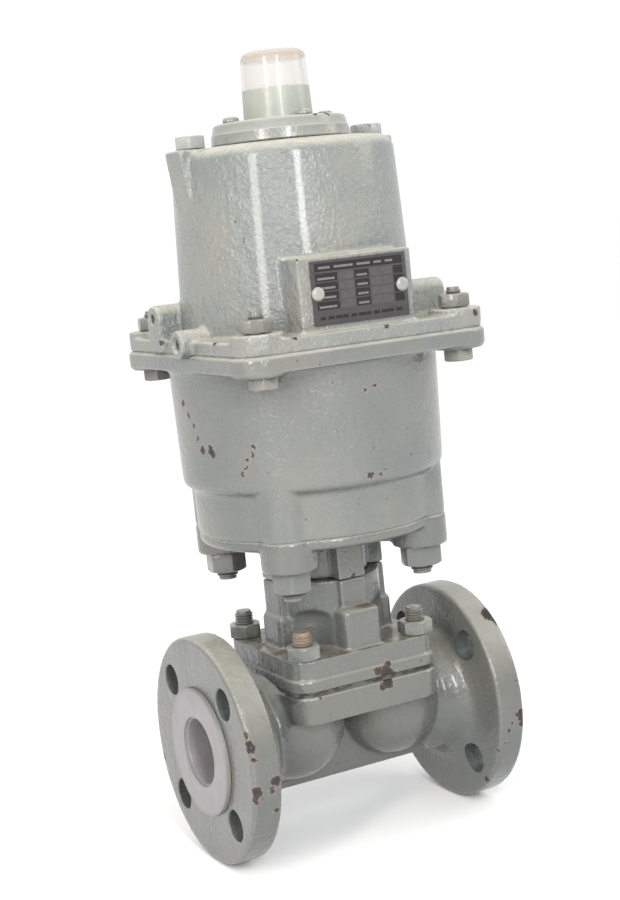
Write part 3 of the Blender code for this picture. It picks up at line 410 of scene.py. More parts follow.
def enamel(name, chips=(), dust_and_top_light=1.0, relief=0.0011, depth=1.0, grime=0.0, edges=1.0, holes=False):
    """Old grey-green enamel on cast iron: orange peel, creamy edges (wear and painted highlight),
    cream on the tops (dust and painted top light), painted shade under things and in creases, chips to the
    rust.

    Chips are (x, y, z, radius) spots. Cream lies on faces that look up: dust, and painted light on
    the tops too; grime lies there as well. Relief is the height of the peel in metres. Depth makes
    the paint lighter or darker for each piece: lit and shaded copies of one enamel, so painted light
    and shade. Edges sets how creamy the outside edges are, partly wear and partly painted highlight,
    and holes paints shade into the bolt holes of the pipe flanges.
    """
    finish = Finish(name)
    patches = finish.noise(14.0, 4.0, 0.55)
    # Depth scales both tones: each piece gets a lighter or darker copy of one enamel, painted light and
    # shade.
    fresh, faded = [tuple(value * depth for value in paint) for paint in (PAINT, PAINT_COOL)]
    colour = finish.mix(patches.ramp(0.35, 0.68), fresh, faded)
    up = finish.upward()
    cloud = finish.noise(55.0, 5.0, 0.6)
    # Faces that look down are darkened: painted shade under things.
    colour = finish.mix(up.ramp(-0.15, -0.95) * 0.6, colour, (0.055, 0.060, 0.056))
    # Cream on faces that look up: settled dust, and also painted light on the tops.
    settled_dust_and_light = up.ramp(0.15, 0.95) * (0.25 + 0.9 * cloud) * dust_and_top_light
    colour = finish.mix(settled_dust_and_light, colour, PAINT_CREAM)
    # Outside edges turn creamy: partly wear, partly a painted highlight.
    edge = finish.pointed().ramp(0.515, 0.61) * (0.25 + 0.75 * finish.noise(120.0, 4.0)) * edges
    colour = finish.mix(edge, colour, (0.430, 0.415, 0.350))
    # Inside corners are darkened: painted shade in creases.
    crease_shade = finish.pointed().ramp(0.490, 0.44) * 0.7
    colour = finish.mix(crease_shade, colour, (0.085, 0.085, 0.072))
    if grime:
        dirty = up.ramp(0.55, 0.98) * finish.noise(70.0, 5.0, 0.65).ramp(0.36, 0.62) * grime
        colour = finish.mix(dirty, colour, (0.110, 0.092, 0.058))
    if holes:
        # Painted shade inside the bolt holes of the pipe flanges.
        folded = finish.vector("ABSOLUTE", finish.vector("SUBTRACT", finish.place, (0.0, 0.0, PIPE_Z)))
        flat = finish.vector("MULTIPLY", folded, (0.0, 1.0, 1.0))
        far = finish.vector("DISTANCE", flat, (0.0, BOLT_HOLE_AT, BOLT_HOLE_AT))
        inside = far.ramp(BOLT_HOLE_R + 0.0006, BOLT_HOLE_R + 0.0002)
        colour = finish.mix(inside * 0.85, colour, (0.050, 0.062, 0.060))
    specks = finish.noise(330.0, 2.0, 0.5).ramp(0.745, 0.765)
    worn = finish.pointed().ramp(0.545, 0.58) * finish.noise(140.0, 6.0, 0.7).ramp(0.62, 0.65) * edges
    bare = specks.most(worn) * 0.8
    if chips:
        torn = finish.spots(chips, finish.ragged(260.0, 0.0085)) - 0.0005
        halo = torn.ramp(-0.0007, 0.0002)
        colour = finish.mix(halo * 0.4, colour, PRIMER)
        bare = bare.most(torn.ramp(0.0, 0.0006))
        pit = torn.ramp(0.0009, 0.0022)
    metal = finish.mix(finish.noise(420.0, 3.0), RUST_DARK, RUST)
    if chips:
        metal = finish.mix(pit * 0.7, metal, (0.006, 0.005, 0.005))
    colour = finish.mix(bare, colour, metal)
    peel = 0.42 * finish.noise(430.0, 2.0) + 0.60 * finish.noise(190.0, 2.0) + 0.55 * finish.noise(70.0, 2.0)
    finish.bump(peel - bare * 0.3, relief)
    gloss = 0.20 + 0.16 * finish.noise(40.0, 3.0) + 0.25 * settled_dust_and_light + 0.5 * bare
    finish.set(base_color=colour, roughness=gloss)
    finish.set(coat_weight=0.35, coat_roughness=0.10)
    return finish.material


def pipe_end(side):
    """Neck, collar, hub fillet and pipe flange of one side."""
    face = FLANGE_FACE
    outline = [(0.0, 0.024), (0.0300, 0.024), (0.0300, 0.0535), (0.0312, 0.0560), (0.0350, 0.0595)]
    outline += [(0.0362, 0.0640), (0.0380, 0.0690), (0.0412, 0.0732), (0.0458, 0.0755)]
    outline += [(0.0520, FLANGE_BACK), (0.0692, FLANGE_BACK), (0.0700, FLANGE_BACK + 0.0008)]
    outline += [(0.0700, face - 0.0008), (0.0692, face), (0.0, face)]
    return turned("pipe_end", outline, 120, (0, 0, PIPE_Z), (0, side * QUARTER_TURN, 0))


def cut_above(piece, height):
    """Slice off everything above a height."""
    take(piece)
    bpy.ops.object.mode_set(mode="EDIT")
    bpy.ops.mesh.select_all(action="SELECT")
    bpy.ops.mesh.bisect(plane_co=(0, 0, height), plane_no=(0, 0, 1), use_fill=True, clear_outer=True)
    bpy.ops.object.mode_set(mode="OBJECT")
    return piece


def drape(low_z, steps=12):
    """Outline of the bowl pressed into the diaphragm, from the axis outward."""
    outline = [(0.0, low_z - BOWL_DEPTH)]
    for step in range(steps + 1):
        share = step / steps
        fall = BOWL_DEPTH * (1.0 + math.cos(math.pi * share)) / 2.0
        outline.append((0.0062 + 0.0203 * share, low_z - fall))
    return outline


def bent_bar(name, radius, route, roundness):
    """A round bar along a route of (x, y, z) points."""
    bar = bpy.data.curves.new(name, "CURVE")
    bar.dimensions = "3D"
    bar.bevel_depth = radius
    bar.bevel_resolution = roundness
    bar.use_fill_caps = True
    line = bar.splines.new("POLY")
    line.points.add(len(route) - 1)
    for point, place in zip(line.points, route):
        point.co = (*place, 1.0)
    piece = bpy.data.objects.new(name, bar)
    scene.collection.objects.link(piece)
    take(piece)
    bpy.ops.object.convert(target="MESH")
    return piece


def duct(growth, side):
    """One bent bore from beyond the pipe face up to the weir."""
    route = [(0.104, 0.0), (0.070, 0.0), (0.060, 0.0), (0.046, 0.002), (0.033, 0.007)]
    route += [(0.022, 0.012), (0.013 - growth, 0.015)]
    route = [(side * x, 0.0, PIPE_Z + rise) for x, rise in route]
    tube = bent_bar("duct", BORE_R + growth, route, 14)
    bpy.ops.object.mode_set(mode="EDIT")
    bpy.ops.mesh.select_all(action="SELECT")
    bpy.ops.mesh.remove_doubles(threshold=1e-6)
    bpy.ops.mesh.normals_make_consistent(inside=False)
    bpy.ops.object.mode_set(mode="OBJECT")
    return tube


def passage(growth):
    """The flow passage, larger by growth all round: a bowl and two ducts, less the weir."""
    space = ball("passage", (0, 0, 0.103), [radius + growth for radius in (0.031, 0.0275, 0.022)])
    carve(space, [duct(growth, -1), duct(growth, 1)], "UNION")
    top = 0.0048 - growth * 0.8
    saddle = slab("saddle", (-top, -0.040, 0.030), (top, 0.040, JOINT_Z + 0.002))
    for vertex in saddle.data.vertices:
        if vertex.co.z < 0.05:
            vertex.co.x *= (top + 0.6 * 0.0718) / top
    seat = drape(JOINT_Z - growth)
    seat += [(0.050, seat[-1][1]), (0.050, JOINT_Z + 0.010), (0.0, JOINT_Z + 0.010)]
    carve(saddle, [turned("seat", seat, 48)])
    return carve(space, [saddle])


low, high = (-JOINT_HALF, -JOINT_HALF, 0.0845), (JOINT_HALF, JOINT_HALF, JOINT_Z)
square_flange = slab("square_flange", low, high, JOINT_CORNER)
bowl_wall = cut_above(ball("bowl_wall", (0, 0, 0.103), (0.0395, 0.036, 0.0305)), JOINT_Z - 0.001)
lobe_radii = (0.0350, 0.0385, 0.0362)
lobes = [ball("lobe", (side * 0.0355, 0, 0.0755), lobe_radii) for side in (-1, 1)]
web = slab("web", (-0.078, -0.0035, 0.0335), (0.078, 0.0035, 0.093))
solids = [square_flange, bowl_wall, web, *lobes, pipe_end(-1), pipe_end(1)]
valve_body = cast("body_casting", solids, 0.00125, 9)
holes = []
for side in (-1, 1):
    for sign_y, sign_z in CORNERS:
        hole = [(0.0, 0.0725), (BOLT_HOLE_R, 0.0725), (BOLT_HOLE_R, FLANGE_FACE - 0.0008)]
        hole += [(0.0108, FLANGE_FACE + 0.0006), (0.0108, 0.100), (0.0, 0.100)]
        place = (0, sign_y * BOLT_HOLE_AT, PIPE_Z + sign_z * BOLT_HOLE_AT)
        holes.append(turned("bolt_hole", hole, 40, place, (0, side * QUARTER_TURN, 0)))
carve(valve_body, [as_one("bolt_holes", holes), passage(LINER_POCKET)])
body_chips = [
    (-0.0942, -0.0675, 0.0885, 0.0050), (-0.0926, -0.0691, 0.0814, 0.0030),
    (-0.0948, -0.0650, 0.0955, 0.0032), (-0.0938, -0.0696, 0.0621, 0.0045),
    (-0.0946, -0.0685, 0.0570, 0.0035), (-0.0806, -0.0699, 0.0660, 0.0040),
    (-0.0830, -0.0700, 0.0610, 0.0028), (-0.0802, -0.0663, 0.0474, 0.0030),
    (0.0915, -0.0430, 0.1252, 0.0055), (0.0935, -0.0480, 0.1205, 0.0035),
    (0.0927, -0.0698, 0.0654, 0.0052), (0.0936, -0.0690, 0.0590, 0.0035),
    (0.0747, -0.0640, 0.0417, 0.0040), (0.0744, -0.0492, 0.0202, 0.0042),
    (0.0828, -0.0687, 0.0564, 0.0025), (0.0860, -0.0695, 0.0610, 0.0020),
    (0.0800, -0.0670, 0.0500, 0.0018), (0.0103, -0.0505, 0.1000, 0.0045),
    (0.0060, -0.0505, 0.0985, 0.0030), (-0.0361, -0.0505, 0.1016, 0.0022),
    (0.0500, 0.0505, 0.0960, 0.0040), (0.0946, 0.0600, 0.1050, 0.0040),
    (-0.0940, 0.0660, 0.0500, 0.0045),
]
shade(valve_body)
# depth 0.64 makes a darker copy of the enamel: painted shade on the low body.
body_enamel = enamel("body_enamel", body_chips, 0.65, relief=0.0009, depth=0.64, holes=True)
hand_over(valve_body, "housing", "enamel", body_enamel, "valve_body")


# ---------------------------------------------------------------------------------------------
# Liner: white fluoropolymer moulded into the body. It lines the flow passage and folds out over
# both pipe faces as a thin raised disc, its rim dulled by overspray of the enamel.
LINER_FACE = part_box("body_liner")[1].x
MOUTH_ROUND = 0.0032
liner = passage(LINER_WALL)
liner.name = "liner_moulding"
for low_x, high_x in ((-0.120, -0.0955), (0.0955, 0.120)):
    carve(liner, [slab("trim", (low_x, -0.05, 0.02), (high_x, 0.05, 0.12))])
cut_above(liner, JOINT_Z - 0.0001)
inner = 0.0215
for side in (-1, 1):
    low = FLANGE_FACE + 0.0003
    face = [(inner, LINER_FACE), (0.0388, LINER_FACE), (0.0393, LINER_FACE - 0.0002)]
    face += [(0.0395, LINER_FACE - 0.0008), (0.0395, low), (inner, low), (inner, LINER_FACE)]
    disc = turned("liner_face", face, 96, (0, 0, PIPE_Z), (0, side * QUARTER_TURN, 0))
    carve(liner, [disc], "UNION")
mouths = []
for side in (-1, 1):
    mouth = [(0.0, 0.090), (BORE_R, 0.090)]
    for angle in quarter_arc(6):
        across, along = MOUTH_ROUND * math.cos(angle), MOUTH_ROUND * math.sin(angle)
        mouth.append((BORE_R + MOUTH_ROUND - across, LINER_FACE - MOUTH_ROUND + along))
    mouth += [(0.0240, LINER_FACE + 0.001), (0.0, LINER_FACE + 0.001)]
    mouths.append(turned("mouth", mouth, 96, (0, 0, PIPE_Z), (0, side * QUARTER_TURN, 0)))
carve(liner, [passage(0.0)] + mouths)
shade(liner, 30)


def moulded(name, colour, roughness, relief=0.00008, stain=(0.55, 0.52, 0.50), overspray=0.0):
    """Plain moulded plastic or rubber with a faint grain and stains."""
    finish = Finish(name)
    grain = finish.noise(600.0, 3.0)
    stained = finish.noise(45.0, 5.0, 0.6).ramp(0.52, 0.72) * 0.35
    tone = finish.mix(stained, colour, stain)
    if overspray:
        away = finish.vector("SUBTRACT", finish.place, (0.0, 0.0, PIPE_Z))
        reach = finish.vector("LENGTH", finish.vector("MULTIPLY", away, (0.0, 1.0, 1.0)))
        sprayed = (reach + 0.0030 * finish.noise(160.0, 4.0)).ramp(0.0380, 0.0403)
        tone = finish.mix(sprayed * overspray, tone, PAINT)
    finish.bump(grain, relief)
    finish.set(base_color=tone, roughness=roughness + 0.15 * finish.noise(90.0, 4.0))
    return finish.material


stain = (0.200, 0.175, 0.168)
liner_white = moulded("liner_white", (0.245, 0.228, 0.240), 0.32, 0.00012, stain, 0.75)
hand_over(liner, "housing", "fluoropolymer", liner_white, "body_liner")


# ---------------------------------------------------------------------------------------------
# Diaphragm: a fluoropolymer facing over a rubber backing, both clamped in the square joint and
# pressed into a bowl that seals on the weir. Their rims were sprayed with the valve, and are
# darkened further with painted shade of the gaps in the joint.
FACING_Z = JOINT_Z + 0.0003
BACKING_Z = JOINT_Z + 0.0016
SHEET_HALF, SHEET_CORNER = 0.0492, 0.013


def sheet(name, low_z):
    """One square layer, 1 mm thick, with its bowl."""
    top_z = low_z + 0.001
    low, high = (-SHEET_HALF, -SHEET_HALF, low_z), (SHEET_HALF, SHEET_HALF, top_z)
    square = slab(name, low, high, SHEET_CORNER)
    hole = [(0.0, low_z - 0.002), (0.0265, low_z - 0.002)]
    hole += [(0.0265, top_z + 0.002), (0.0, top_z + 0.002)]
    carve(square, [turned("hole", hole, 48)])
    bowl = drape(top_z) + [(0.0275, top_z), (0.0275, low_z)] + drape(low_z)[::-1]
    return carve(square, [turned("bowl", bowl, 48)], "UNION")


def sprayed_shaded_rim(name, colour, roughness):
    """A sheet's own colour, with enamel on its outer edge, darkened towards black as painted shade of the
    joint's gaps.
    """
    finish = Finish(name)
    inset = SHEET_HALF - SHEET_CORNER
    apart = finish.vector("SUBTRACT", finish.vector("ABSOLUTE", finish.place), (inset, inset, 1.0))
    outward = finish.vector("LENGTH", finish.vector("MAXIMUM", apart))
    rim = outward.ramp(SHEET_CORNER - 0.0014, SHEET_CORNER - 0.0010)
    # The rim mixes overspray enamel with near black, painted shade of the joint's gaps.
    patches = finish.noise(160.0, 4.0).ramp(0.35, 0.65)
    sprayed = finish.mix(patches, (0.110, 0.110, 0.098), (0.030, 0.029, 0.026))
    finish.set(base_color=finish.mix(rim, colour, sprayed))
    finish.set(roughness=roughness + 0.1 * finish.noise(120.0) + 0.3 * rim)
    finish.bump(finish.noise(500.0, 3.0), 0.0001)
    return finish.material


facing = shade(sheet("facing_sheet", FACING_Z))
facing_white = sprayed_shaded_rim("facing_white", (0.62, 0.60, 0.63), 0.3)
hand_over(facing, None, "fluoropolymer", facing_white, "diaphragm_facing")
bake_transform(facing)
backing = sheet("backing_sheet", BACKING_Z)
hole = [(0.0, 0.080), (0.0053, 0.080), (0.0053, 0.095), (0.0, 0.095)]
shade(carve(backing, [turned("hole", hole, 32)]))
backing_rubber = sprayed_shaded_rim("backing_rubber", (0.020, 0.020, 0.021), 0.7)
hand_over(backing, None, "rubber", backing_rubber, "diaphragm_backing")
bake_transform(backing)


def metal(name, colour, roughness, rust=0.0, polish=1.0):
    """Bare metal with tool marks across the stem axis and a little rust."""
    finish = Finish(name)
    marks = finish.noise(130.0, 4.0, 0.6, finish.vector("MULTIPLY", finish.place, (1.0, 1.0, 14.0)))
    bare = finish.mix(marks, colour, tuple(value * 0.72 for value in colour))
    rusty = finish.noise(70.0, 5.0, 0.65).ramp(0.62 - 0.3 * rust, 0.80 - 0.2 * rust)
    finish.set(base_color=finish.mix(rusty, bare, (0.16, 0.075, 0.04)))
    finish.set(roughness=roughness + 0.3 * rusty, metallic=polish - 0.8 * rusty)
    finish.bump(marks, 0.00006)
    return finish.material


def dress(finish, *nodes):
    """Give CAD nodes that show as they are a worked material."""
    for node in nodes:
        for material_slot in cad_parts[node].material_slots:
            material_slot.material = finish


steel_bar = metal("steel_bar", (0.50, 0.50, 0.51), 0.28)
grey_iron = metal("grey_iron", (0.20, 0.20, 0.205), 0.50, 0.25, 0.7)
dress(steel_bar, "diaphragm_stud", "compressor_pin", "stem")
dress(grey_iron, "compressor")


# ---------------------------------------------------------------------------------------------
# Bonnet: iron casting on the square joint. A cross of ribs rises from its flange, scooped out at
# the corners so that a spanner reaches the nuts. Grime has settled on the flange.
BONNET_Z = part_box("bonnet")[0].z
COLUMN_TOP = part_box("bonnet")[1].z
NUT_AT = 0.0395
core = turned("core", [(0, 0.121), (0.0345, 0.121), (0.0345, COLUMN_TOP), (0, COLUMN_TOP)], 96)
scoop = [(0, 0.1235), (0.027, 0.1235), (0.027, 0.1400), (0.0262, 0.1438)]
scoop += [(0.0235, 0.1468), (0.0190, 0.1484), (0, 0.149)]
carve(core, [turned("scoop", scoop, 72, place) for place in corners(NUT_AT, NUT_AT)])
front_block = slab("front_block", (-0.0125, -0.046, 0.121), (0.0125, 0.046, 0.1482))
side_block = slab("side_block", (-0.0400, -0.0125, 0.121), (0.0400, 0.0125, 0.1445))
for block in (front_block, side_block):
    round_edges(block, 0.0035, 4)
bonnet = cast("bonnet_casting", [
    slab("step", (-JOINT_HALF, -JOINT_HALF, BONNET_Z), (JOINT_HALF, JOINT_HALF, 0.1115), JOINT_CORNER),
    slab("flange", (-0.0490, -0.0490, BONNET_Z + 0.001), (0.0490, 0.0490, 0.1235), JOINT_CORNER),
    core,
    slab("side_rib", (-0.0375, -0.011, 0.121), (0.0375, 0.011, COLUMN_TOP)),
    slab("front_rib", (-0.009, -0.0375, 0.121), (0.009, 0.0375, COLUMN_TOP)),
    front_block,
    side_block,
], 0.00092, 6)
chamber = [(0, 0.100), (0.0243, 0.100), (0.0243, 0.1355), (0.0193, 0.1400)]
chamber += [(0.0083, 0.1400), (0.0083, 0.170), (0, 0.170)]
carve(bonnet, [turned("chamber", chamber, 64)])
shade(bonnet)
bonnet_chips = [
    (0.0103, -0.0500, 0.1062, 0.0052), (0.0150, -0.0500, 0.1040, 0.0036),
    (0.0045, -0.0500, 0.1085, 0.0030), (0.0125, -0.0490, 0.1120, 0.0030),
    (0.0080, -0.0500, 0.1030, 0.0036), (-0.0028, -0.0379, 0.1655, 0.0014),
    (-0.0060, -0.0379, 0.1640, 0.0010), (0.0015, -0.0379, 0.1648, 0.0011),
    (-0.0240, -0.0400, 0.1240, 0.0012), (0.0490, 0.0300, 0.1180, 0.0030),
]
# depth 0.66 makes a darker copy of the enamel: painted shade on the bonnet.
bonnet_enamel = enamel("bonnet_enamel", bonnet_chips, 0.7, depth=0.66, grime=1.0)
hand_over(bonnet, "housing", "enamel", bonnet_enamel, "bonnet")


# ---------------------------------------------------------------------------------------------
# Joint studs and nuts: M12 studs screwed into the body, with a plain hexagon nut on each, sprayed
# over. The thread ends stand clear of the nuts and have lost most of their paint.
def thread(radius, low, high, pitch):
    """Outline of a thread, upward."""
    outline, root, count = [], radius - 0.55 * pitch, int((high - low) / pitch)
    for turn_number in range(count):
        foot = low + turn_number * pitch
        outline += [(root, foot), (radius, foot + 0.40 * pitch), (radius, foot + 0.58 * pitch)]
    return outline + [(root, low + count * pitch)]


def stud(name, radius, low, high, pitch, thread_low):
    """A bar, threaded above thread_low, with a pointed end."""
    outline = [(0, low), (radius, low), (radius, thread_low - 0.001)]
    outline += thread(radius, thread_low, high - 0.0012, pitch)
    return turned(name, outline + [(radius - 0.0012, high), (0, high)], 36)


def hexagon(name, flats, low, high, hole=0.0, low_chamfer=True, high_chamfer=True):
    """A nut, or a bolt head without a hole, its corners turned off."""
    clear()
    bpy.ops.mesh.primitive_cylinder_add(
        vertices=6, radius=flats / math.sqrt(3.0), depth=high - low, location=(0, 0, (low + high) / 2.0)
    )
    piece = settle(bpy.context.active_object, name, turns=(0, 0, math.pi / 6.0))
    corner, flat = flats / math.sqrt(3.0) + 0.001, flats / 2.0 * 0.97
    fall = (corner - flat) * math.tan(math.radians(28.0))
    outline = [(0, low), (flat if low_chamfer else corner, low)] + [(corner, low + fall)] * low_chamfer
    outline += [(corner, high - fall)] * high_chamfer
    outline += [(flat if high_chamfer else corner, high), (0, high)]
    carve(piece, [turned("turning", outline, 48)], "INTERSECT")
    if hole:
        outline = [(0, low - 0.01), (hole, low - 0.01), (hole, high + 0.01), (0, high + 0.01)]
        carve(piece, [turned("hole", outline, 36)])
    return shade(round_edges(piece, 0.0004, 2, 25), 30)


def copy_of(pattern, name, place, twist=0.0):
    """A copy with its own mesh."""
    piece = pattern.copy()
    piece.data = pattern.data.copy()
    scene.collection.objects.link(piece)
    return settle(piece, name, place, (0, 0, twist))


def set_out(pattern, name, places, twists, slot, finishes, node, body="housing"):
    """Copies of a fastener, one for each CAD node node_1, node_2 and on."""
    for number, (place, twist) in enumerate(zip(places, twists), start=1):
        piece = copy_of(pattern, f"{name}_{number}", place, twist)
        finish = finishes[(number - 1) % len(finishes)]
        hand_over(piece, body, slot, finish, f"{node}_{number}")
    bpy.data.objects.remove(pattern, do_unlink=True)


def bare_tip(name, height, bare_colour=(0.30, 0.22, 0.15), share=0.6):
    """Enamel that has flaked off a thread above a height, with painted shade on faces that look down and
    creamy edges that are partly painted highlight.
    """
    finish = Finish(name)
    z = finish.node("SeparateXYZ", None, {0: finish.place}, out=2)
    kept = 0.62 - share * 0.4
    flakes = finish.noise(260.0, 4.0, 0.6).ramp(kept, kept + 0.10)
    flaked = z.ramp(height - 0.001, height + 0.002) * flakes
    colour = finish.mix(finish.noise(90.0, 3.0), (0.095, 0.100, 0.092), (0.150, 0.153, 0.138))
    # Faces that look down are darkened: painted shade under things.
    colour = finish.mix(finish.upward().ramp(-0.15, -0.95) * 0.6, colour, (0.050, 0.054, 0.050))
    # Outside edges turn creamy: partly wear, partly a painted highlight.
    edge = finish.pointed().ramp(0.52, 0.64) * 0.4
    colour = finish.mix(edge, colour, (0.32, 0.30, 0.25))
    bare = finish.mix(finish.noise(500.0, 3.0), bare_colour, (0.12, 0.085, 0.06))
    colour = finish.mix(flaked, colour, bare)
    finish.set(base_color=colour, roughness=0.30 + 0.35 * flaked, coat_weight=0.25)
    finish.bump(finish.noise(380.0, 3.0), 0.0002)
    return finish.material


# depth 0.72 makes a darker copy of the enamel: painted shade on the nuts.
nut_enamel = enamel("nut_enamel", dust_and_top_light=0.8, relief=0.0006, depth=0.72, grime=0.45, edges=0.35)
JOINT_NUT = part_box("bonnet_nut_1")
JOINT_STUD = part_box("bonnet_stud_1")
joint_corners = corners(NUT_AT, NUT_AT)
joint_stud = stud("joint_stud", 0.0058, JOINT_STUD[0].z, JOINT_STUD[1].z, 0.00175, 0.1180)
painted = bare_tip("stud_tip", 0.1335, (0.15, 0.12, 0.09), 0.2)
tan_tip = bare_tip("stud_tip_tan", 0.1330, (0.31, 0.25, 0.17), 0.8)
tips, turns = [painted, painted, tan_tip, painted], (0.0, 1.1, 2.0, 0.4)
set_out(shade(joint_stud, 25), "joint_stud", joint_corners, turns, "steel", tips, "bonnet_stud")
joint_nut = hexagon("joint_nut", 0.019, JOINT_NUT[0].z, JOINT_NUT[1].z, 0.0059)
turns = (0.30, 0.10, 0.16, 0.42)
set_out(joint_nut, "joint_nut", joint_corners, turns, "steel", [nut_enamel], "bonnet_nut")


# ---------------------------------------------------------------------------------------------
# Yoke plate: iron casting that carries the actuator. Four legs stand on the bonnet's ribs, and
# four arms end in bored bosses for the tie studs. A bronze bush and a packing guide the stem.
YOKE_Z, YOKE_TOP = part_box("yoke_plate")[0].z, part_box("yoke_plate")[1].z
BOSS_AT = 0.045
disc = [(0, 0.1918), (0.0700, 0.1918), (0.0724, 0.1924), (0.0738, 0.1940), (0.0740, 0.1955)]
disc += [(0.0740, YOKE_TOP), (0.0731, YOKE_TOP), (0.0731, YOKE_TOP + 0.0014), (0, YOKE_TOP + 0.0014)]
boss = [(0, 0.180), (0.0163, 0.180), (0.0170, 0.1807), (0.0170, YOKE_TOP)]
boss += [(0.0160, YOKE_TOP), (0.0160, YOKE_TOP + 0.0014), (0, YOKE_TOP + 0.0014)]
arms = []
for x, y in CORNERS:
    arm = slab("arm", (0.010, -0.010, 0.1835), (0.0600, 0.010, 0.194))
    arms.append(settle(arm, "arm", turns=(0, 0, math.atan2(y, x))))
yoke = cast("yoke_casting", [
    turned("disc", disc, 120),
    *[turned("boss", boss, 64, place) for place in corners(BOSS_AT, BOSS_AT)],
    *arms,
    turned("core", [(0, YOKE_Z), (0.028, YOKE_Z), (0.028, 0.194), (0, 0.194)], 64),
    slab("side_leg", (-0.0375, -0.011, YOKE_Z), (0.0375, 0.011, 0.194)),
    slab("front_leg", (-0.009, -0.0375, YOKE_Z), (0.009, 0.0375, 0.194)),
], 0.0010, 6)
stem_way = [(0, 0.160), (0.0123, 0.160), (0.0123, 0.1843), (0.0083, 0.1843), (0.0083, 0.1870)]
stem_way += [(0.0133, 0.1870), (0.0133, 0.205), (0, 0.205)]
carve(yoke, [turned("stem_way", stem_way, 48)])
shade(yoke)
yoke_chips = [
    (-0.0219, -0.0311, 0.1730, 0.0026), (0.0003, -0.0375, 0.1662, 0.0023),
    (-0.0330, -0.0560, 0.1810, 0.0026),
]
# depth 0.68 makes a darker copy of the enamel: painted shade on the yoke.
yoke_enamel = enamel("yoke_enamel", yoke_chips, 0.8, depth=0.68)
hand_over(yoke, "housing", "enamel", yoke_enamel, "yoke_plate")
dress(metal("bronze_bush", (0.50, 0.31, 0.13), 0.35), "stem_bush")
black_rubber = moulded("black_rubber", (0.020, 0.020, 0.020), 0.6, 0.0001, (0.05, 0.05, 0.05))
dress(black_rubber, "stem_packing")


# ---------------------------------------------------------------------------------------------
# Tie studs and nuts: M14, from the actuator down through the yoke's bosses, with thick nuts below.
TIE_NUT, TIE_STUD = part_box("cylinder_nut_1"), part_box("cylinder_stud_1")
TIE_R, THREAD_END = 0.0068, 0.1850
boss_corners = corners(BOSS_AT, BOSS_AT)
low_z, high_z = TIE_STUD[0].z, TIE_STUD[1].z
ridges = thread(TIE_R, low_z + 0.0012, 0.1840, 0.002)
outline = [(0, high_z), (TIE_R, high_z), (TIE_R, THREAD_END)]
outline += [(radius, low_z + THREAD_END - z) for radius, z in ridges]
outline += [(0.0056, low_z), (0, low_z)]
tie_stud = shade(turned("tie_stud", outline, 36), 25)
turns, tips = (0.0, 0.7, 1.3, 2.2), [bare_tip("tie_tip", 0.3)]
set_out(tie_stud, "tie_stud", boss_corners, turns, "steel", tips, "cylinder_stud")
tie_nut = hexagon("tie_nut", 0.022, TIE_NUT[0].z, TIE_NUT[1].z, 0.0069)
turns = (0.15, 0.40, 0.05, 0.30)
set_out(tie_nut, "tie_nut", boss_corners, turns, "steel", [nut_enamel], "cylinder_nut")


# ---------------------------------------------------------------------------------------------
# Cylinder: the lower casing, a cast cup. Its foot is a step narrower, four bosses run down flush
# with its wall to the yoke, and a rectangular flange with round bolt pads closes it on top.
CYLINDER_Z, CASING_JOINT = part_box("cylinder")[0].z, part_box("cylinder")[1].z
cup = [(0, CYLINDER_Z), (0.0741, CYLINDER_Z), (0.0745, 0.1990), (0.0749, 0.2248), (0.0760, 0.2268)]
cup += [(0.0785, 0.2283), (0.0800, 0.2302), (0.0805, 0.2330), (0.0820, 0.2960), (0.0824, 0.3000)]
cup += [(0.0824, 0.3040), (0, 0.3040)]
tie_boss = [(0, CYLINDER_Z), (0.0168, CYLINDER_Z), (0.0168, 0.2290), (0.0150, 0.2335)]
tie_boss += [(0.0100, 0.2350), (0, 0.2350)]
BOLT_AT = (0.0656, 0.0741)
pad = [(0, 0.2985), (0.0147, 0.2985), (0.0152, 0.2990), (0.0152, 0.3030), (0, 0.3030)]
cylinder = cast("cylinder_casting", [
    turned("cup", cup, 144),
    *[turned("tie_boss", tie_boss, 64, place) for place in corners(BOSS_AT, BOSS_AT)],
    slab("flange", (-0.0828, -0.0898, 0.3005), (0.0828, 0.0898, CASING_JOINT), 0.0172),
    slab("joint_paint", (-0.0802, -0.0872, 0.3005), (0.0802, 0.0872, CASING_JOINT + 0.0012), 0.0146),
    *[turned("pad", pad, 48, place) for place in corners(*BOLT_AT)],
], 0.00118, 7)
bore = [(0, 0.226), (0.0700, 0.226), (0.0700, 0.315), (0, 0.315)]
stem_hole = [(0, 0.190), (0.0083, 0.190), (0.0083, 0.240), (0, 0.240)]
groove = [(0.0715, 0.3078), (0.0748, 0.3078), (0.0748, 0.312), (0.0715, 0.312), (0.0715, 0.3078)]
tools = [turned("bore", bore, 96), turned("stem_hole", stem_hole, 32), turned("groove", groove, 96)]
carve(cylinder, tools)
shade(cylinder)
cylinder_chips = [
    (-0.0810, 0.0018, 0.2820, 0.0032), (-0.0808, -0.0040, 0.2750, 0.0026),
    (-0.0803, -0.0080, 0.2690, 0.0028), (-0.0798, -0.0120, 0.2620, 0.0025),
    (-0.0796, -0.0152, 0.2547, 0.0032), (-0.0778, -0.0226, 0.2550, 0.0038),
    (-0.0772, -0.0240, 0.2520, 0.0026), (-0.0633, -0.0506, 0.2567, 0.0024),
    (-0.0645, -0.0492, 0.2530, 0.0020), (-0.0660, -0.0470, 0.2490, 0.0020),
    (-0.0672, -0.0452, 0.2450, 0.0020), (-0.0686, -0.0431, 0.2406, 0.0022),
    (-0.0053, -0.0808, 0.2338, 0.0026), (0.0010, -0.0808, 0.2335, 0.0022),
    (-0.0040, -0.0809, 0.2837, 0.0024), (0.0020, -0.0809, 0.2850, 0.0020),
]
# depth 0.82 makes a darker copy of the enamel: painted shade on the cylinder.
cylinder_enamel = enamel("cylinder_enamel", cylinder_chips, depth=0.82)
hand_over(cylinder, "housing", "enamel", cylinder_enamel, "cylinder")
dress(black_rubber, "casing_seal")


